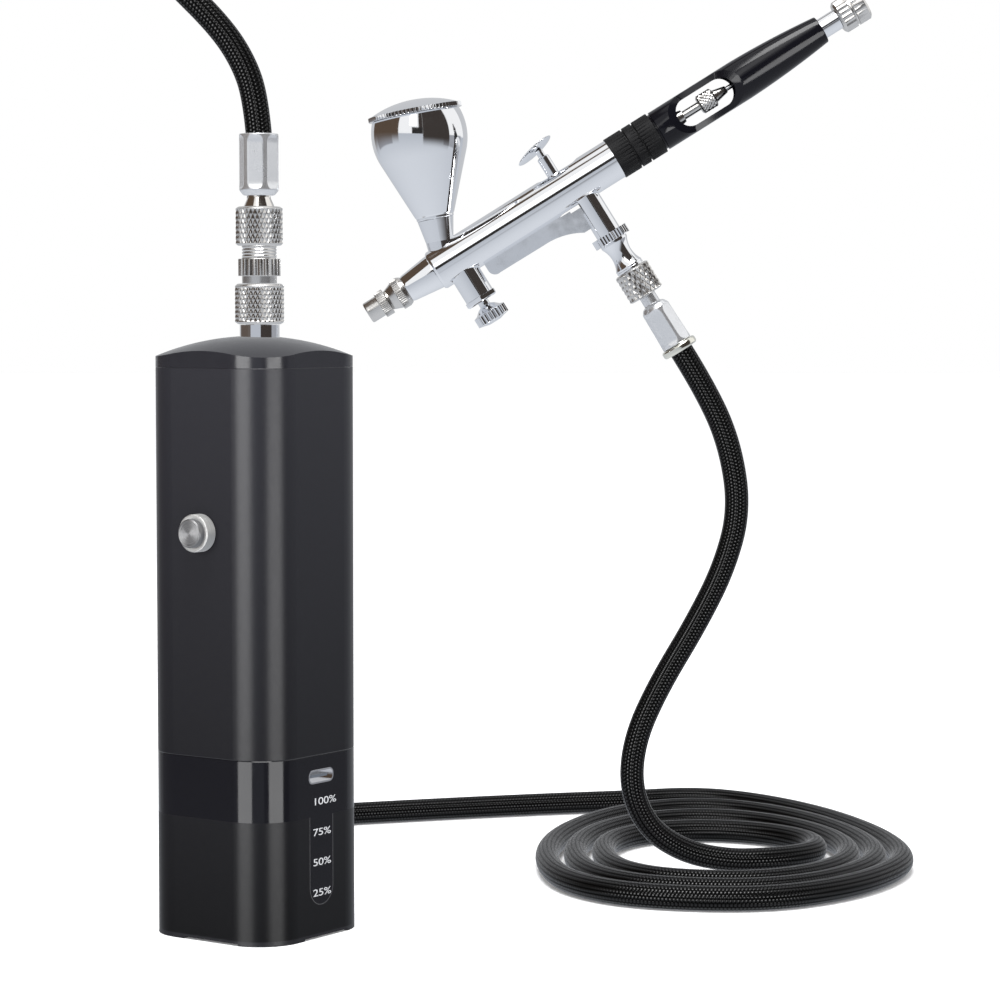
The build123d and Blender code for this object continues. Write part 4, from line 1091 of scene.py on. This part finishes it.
def build_world():
    """White room: bright ceiling over a thin dark line, cool grey walls, and a few dark boards."""
    world = bpy.data.worlds.new("studio")
    world.use_nodes = True
    tree = world.node_tree
    tree.nodes.clear()

    def math_node(operation, *values):
        made = tree.nodes.new("ShaderNodeMath")
        made.operation = operation
        for socket, value in zip(made.inputs, values):
            if isinstance(value, bpy.types.NodeSocket):
                tree.links.new(value, socket)
            else:
                socket.default_value = value
        return made.outputs[0]

    where = tree.nodes.new("ShaderNodeTexCoord")
    split = tree.nodes.new("ShaderNodeSeparateXYZ")
    tree.links.new(where.outputs["Generated"], split.inputs["Vector"])
    rise = split.outputs["Z"]
    heading = math_node("ARCTAN2", split.outputs["Y"], split.outputs["X"])
    ramp = tree.nodes.new("ShaderNodeValToRGB")
    stops = [
        (0.0, (0.78, 0.81, 0.86)),
        (0.25, (0.66, 0.69, 0.74)),
        (0.50, (0.52, 0.55, 0.60)),
        (0.512, (0.52, 0.55, 0.60)),
        (0.518, (1.0, 1.0, 1.0)),
        (0.95, (1.0, 1.0, 1.0)),
        (1.0, (0.8, 0.81, 0.83)),
    ]
    while len(ramp.color_ramp.elements) < len(stops):
        ramp.color_ramp.elements.new(0.5)
    for element, (position, color) in zip(ramp.color_ramp.elements, stops):
        element.position = position
        element.color = (*color, 1)
    tree.links.new(math_node("MULTIPLY_ADD", rise, 0.5, 0.5), ramp.inputs["Fac"])
    color = ramp.outputs["Color"]

    def step(value, start, end):
        made = tree.nodes.new("ShaderNodeMapRange")
        made.interpolation_type = "SMOOTHSTEP"
        tree.links.new(value, made.inputs["Value"])
        made.inputs["From Min"].default_value = start
        made.inputs["From Max"].default_value = end
        return made.outputs["Result"]

    # boards in the room: heading from and to in degrees, height from and to, softness of the low edge, colour
    boards = [
        (-28, 28, -0.25, 0.05, 0.02, (0.36, 0.37, 0.40)),
        (150, 181, -0.25, 0.0, 0.02, (0.33, 0.34, 0.37)),
        (-181, -158, -0.25, 0.0, 0.02, (0.33, 0.34, 0.37)),
        (40, 140, -0.15, 0.78, 0.02, (0.60, 0.61, 0.63)),
        (96, 132, 0.78, 0.875, 0.01, (0.12, 0.09, 0.07)),
        (-80, -12, -0.22, 0.85, 0.18, (0.05, 0.042, 0.038)),
        (-90, -80, 0.16, 0.85, 0.02, (0.05, 0.042, 0.038)),
        (132, 181, -0.12, 0.85, 0.18, (0.10, 0.07, 0.05)),
        (-181, -140, -0.12, 0.85, 0.18, (0.10, 0.07, 0.05)),
        (-106, -80, 0.03, 0.24, 0.005, (0.03, 0.028, 0.027)),
        (-112, -96, 0.30, 0.9, 0.02, (3.0, 3.0, 3.0)),
    ]
    for first, last, low, high, soft, dark in boards:
        sides = math_node(
            "MULTIPLY",
            step(heading, math.radians(first - 1.0), math.radians(first + 1.0)),
            step(heading, math.radians(last + 1.0), math.radians(last - 1.0)),
        )
        heights = math_node(
            "MULTIPLY",
            step(rise, low - soft, low + soft),
            step(rise, high + 0.01, high - 0.01),
        )
        mix = tree.nodes.new("ShaderNodeMix")
        mix.data_type = "RGBA"
        tree.links.new(math_node("MULTIPLY", sides, heights), mix.inputs[0])
        tree.links.new(color, mix.inputs[6])
        mix.inputs[7].default_value = (*dark, 1)
        color = mix.outputs[2]
    room = tree.nodes.new("ShaderNodeBackground")
    tree.links.new(color, room.inputs["Color"])
    paper = tree.nodes.new("ShaderNodeBackground")
    paper.inputs["Color"].default_value = (1, 1, 1, 1)
    rays = tree.nodes.new("ShaderNodeLightPath")
    mix = tree.nodes.new("ShaderNodeMixShader")
    tree.links.new(rays.outputs["Is Glossy Ray"], mix.inputs["Fac"])
    tree.links.new(paper.outputs["Background"], mix.inputs[1])
    tree.links.new(room.outputs["Background"], mix.inputs[2])
    output = tree.nodes.new("ShaderNodeOutputWorld")
    tree.links.new(mix.outputs["Shader"], output.inputs["Surface"])
    bpy.context.scene.world = world


def softbox(name, heading, elevation, distance, wide, tall, power, lit=None):
    """Area light that faces the compressor from a heading, in degrees from +X.

    It lights the pieces of the collection `lit` only, or everything when there is none.
    """
    light = bpy.data.lights.new(name, "AREA")
    light.shape = "RECTANGLE"
    light.size = wide
    light.size_y = tall
    light.energy = power
    holder = bpy.data.objects.new(name, light)
    bpy.context.scene.collection.objects.link(holder)
    if lit is not None:
        holder.light_linking.receiver_collection = lit
    target = Vector((0.02, 0.03, 0.10))
    turn = math.radians(heading)
    rise = math.radians(elevation)
    out = Vector((math.cos(turn) * math.cos(rise), math.sin(turn) * math.cos(rise), math.sin(rise)))
    holder.location = target + out * distance
    holder.rotation_euler = (-out).to_track_quat("-Z", "Y").to_euler()
    return holder


def build_camera():
    data = bpy.data.cameras.new("camera")
    data.sensor_width = 36.0
    data.lens = 115.2
    data.clip_start = 0.01
    camera = bpy.data.objects.new("camera", data)
    bpy.context.scene.collection.objects.link(camera)
    camera.location = (0.0601, -0.784, 0.1552)
    camera.rotation_euler = (math.radians(90 - 3.58), 0, 0)
    bpy.context.scene.camera = camera


# Looks that the two side lamps light: the dark ones, with the button and its bezel among them
BLACK_LOOKS = (
    "satin_black", "cap_black", "gloss_black", "base_black", "handle_black", "grip_black", "hose_braid",
    "button_steel", "bezel_steel",
)
# Pieces that reach nearer to the camera than this y, in metres: the compressor, the hose and the floor
NEAR_Y = 0.03


def gather_black_parts():
    """Collection of the pieces that wear a dark look; a material's name may end in a number."""
    gathered = bpy.data.collections.new("black_parts")
    for piece in bpy.data.objects:
        if piece.type == "MESH" and piece.data.materials and piece.data.materials[0]:
            if piece.data.materials[0].name.split(".")[0] in BLACK_LOOKS:
                gathered.objects.link(piece)
    return gathered


def hide_from_reflections():
    """Keep the near pieces out of the airbrush's polished metal."""
    for piece in bpy.data.objects:
        if piece.type != "MESH":
            continue
        nearest = min((piece.matrix_world @ Vector(corner)).y for corner in piece.bound_box)
        if nearest < NEAR_Y:
            piece.visible_glossy = False


# the cap is glossier than the rest of the housing
dress(NODES["top_cap"], "cap_black")
build_floor()
build_world()
black_parts = gather_black_parts()
hide_from_reflections()
softbox("left_box", -129, 2, 1.3, 0.85, 0.95, 22, black_parts)
softbox("right_box", -51, -6, 1.3, 0.85, 0.6, 14, black_parts)
hose_parts = bpy.data.collections.new("hose_parts")
hose_parts.objects.link(bpy.data.objects["braided_hose"])
softbox("top_box", -90, 75, 1.2, 0.6, 0.6, 16)
softbox("hose_box", -100, 55, 1.2, 0.3, 0.3, 7, hose_parts)
build_camera()
bpy.context.scene.view_settings.view_transform = "Standard"
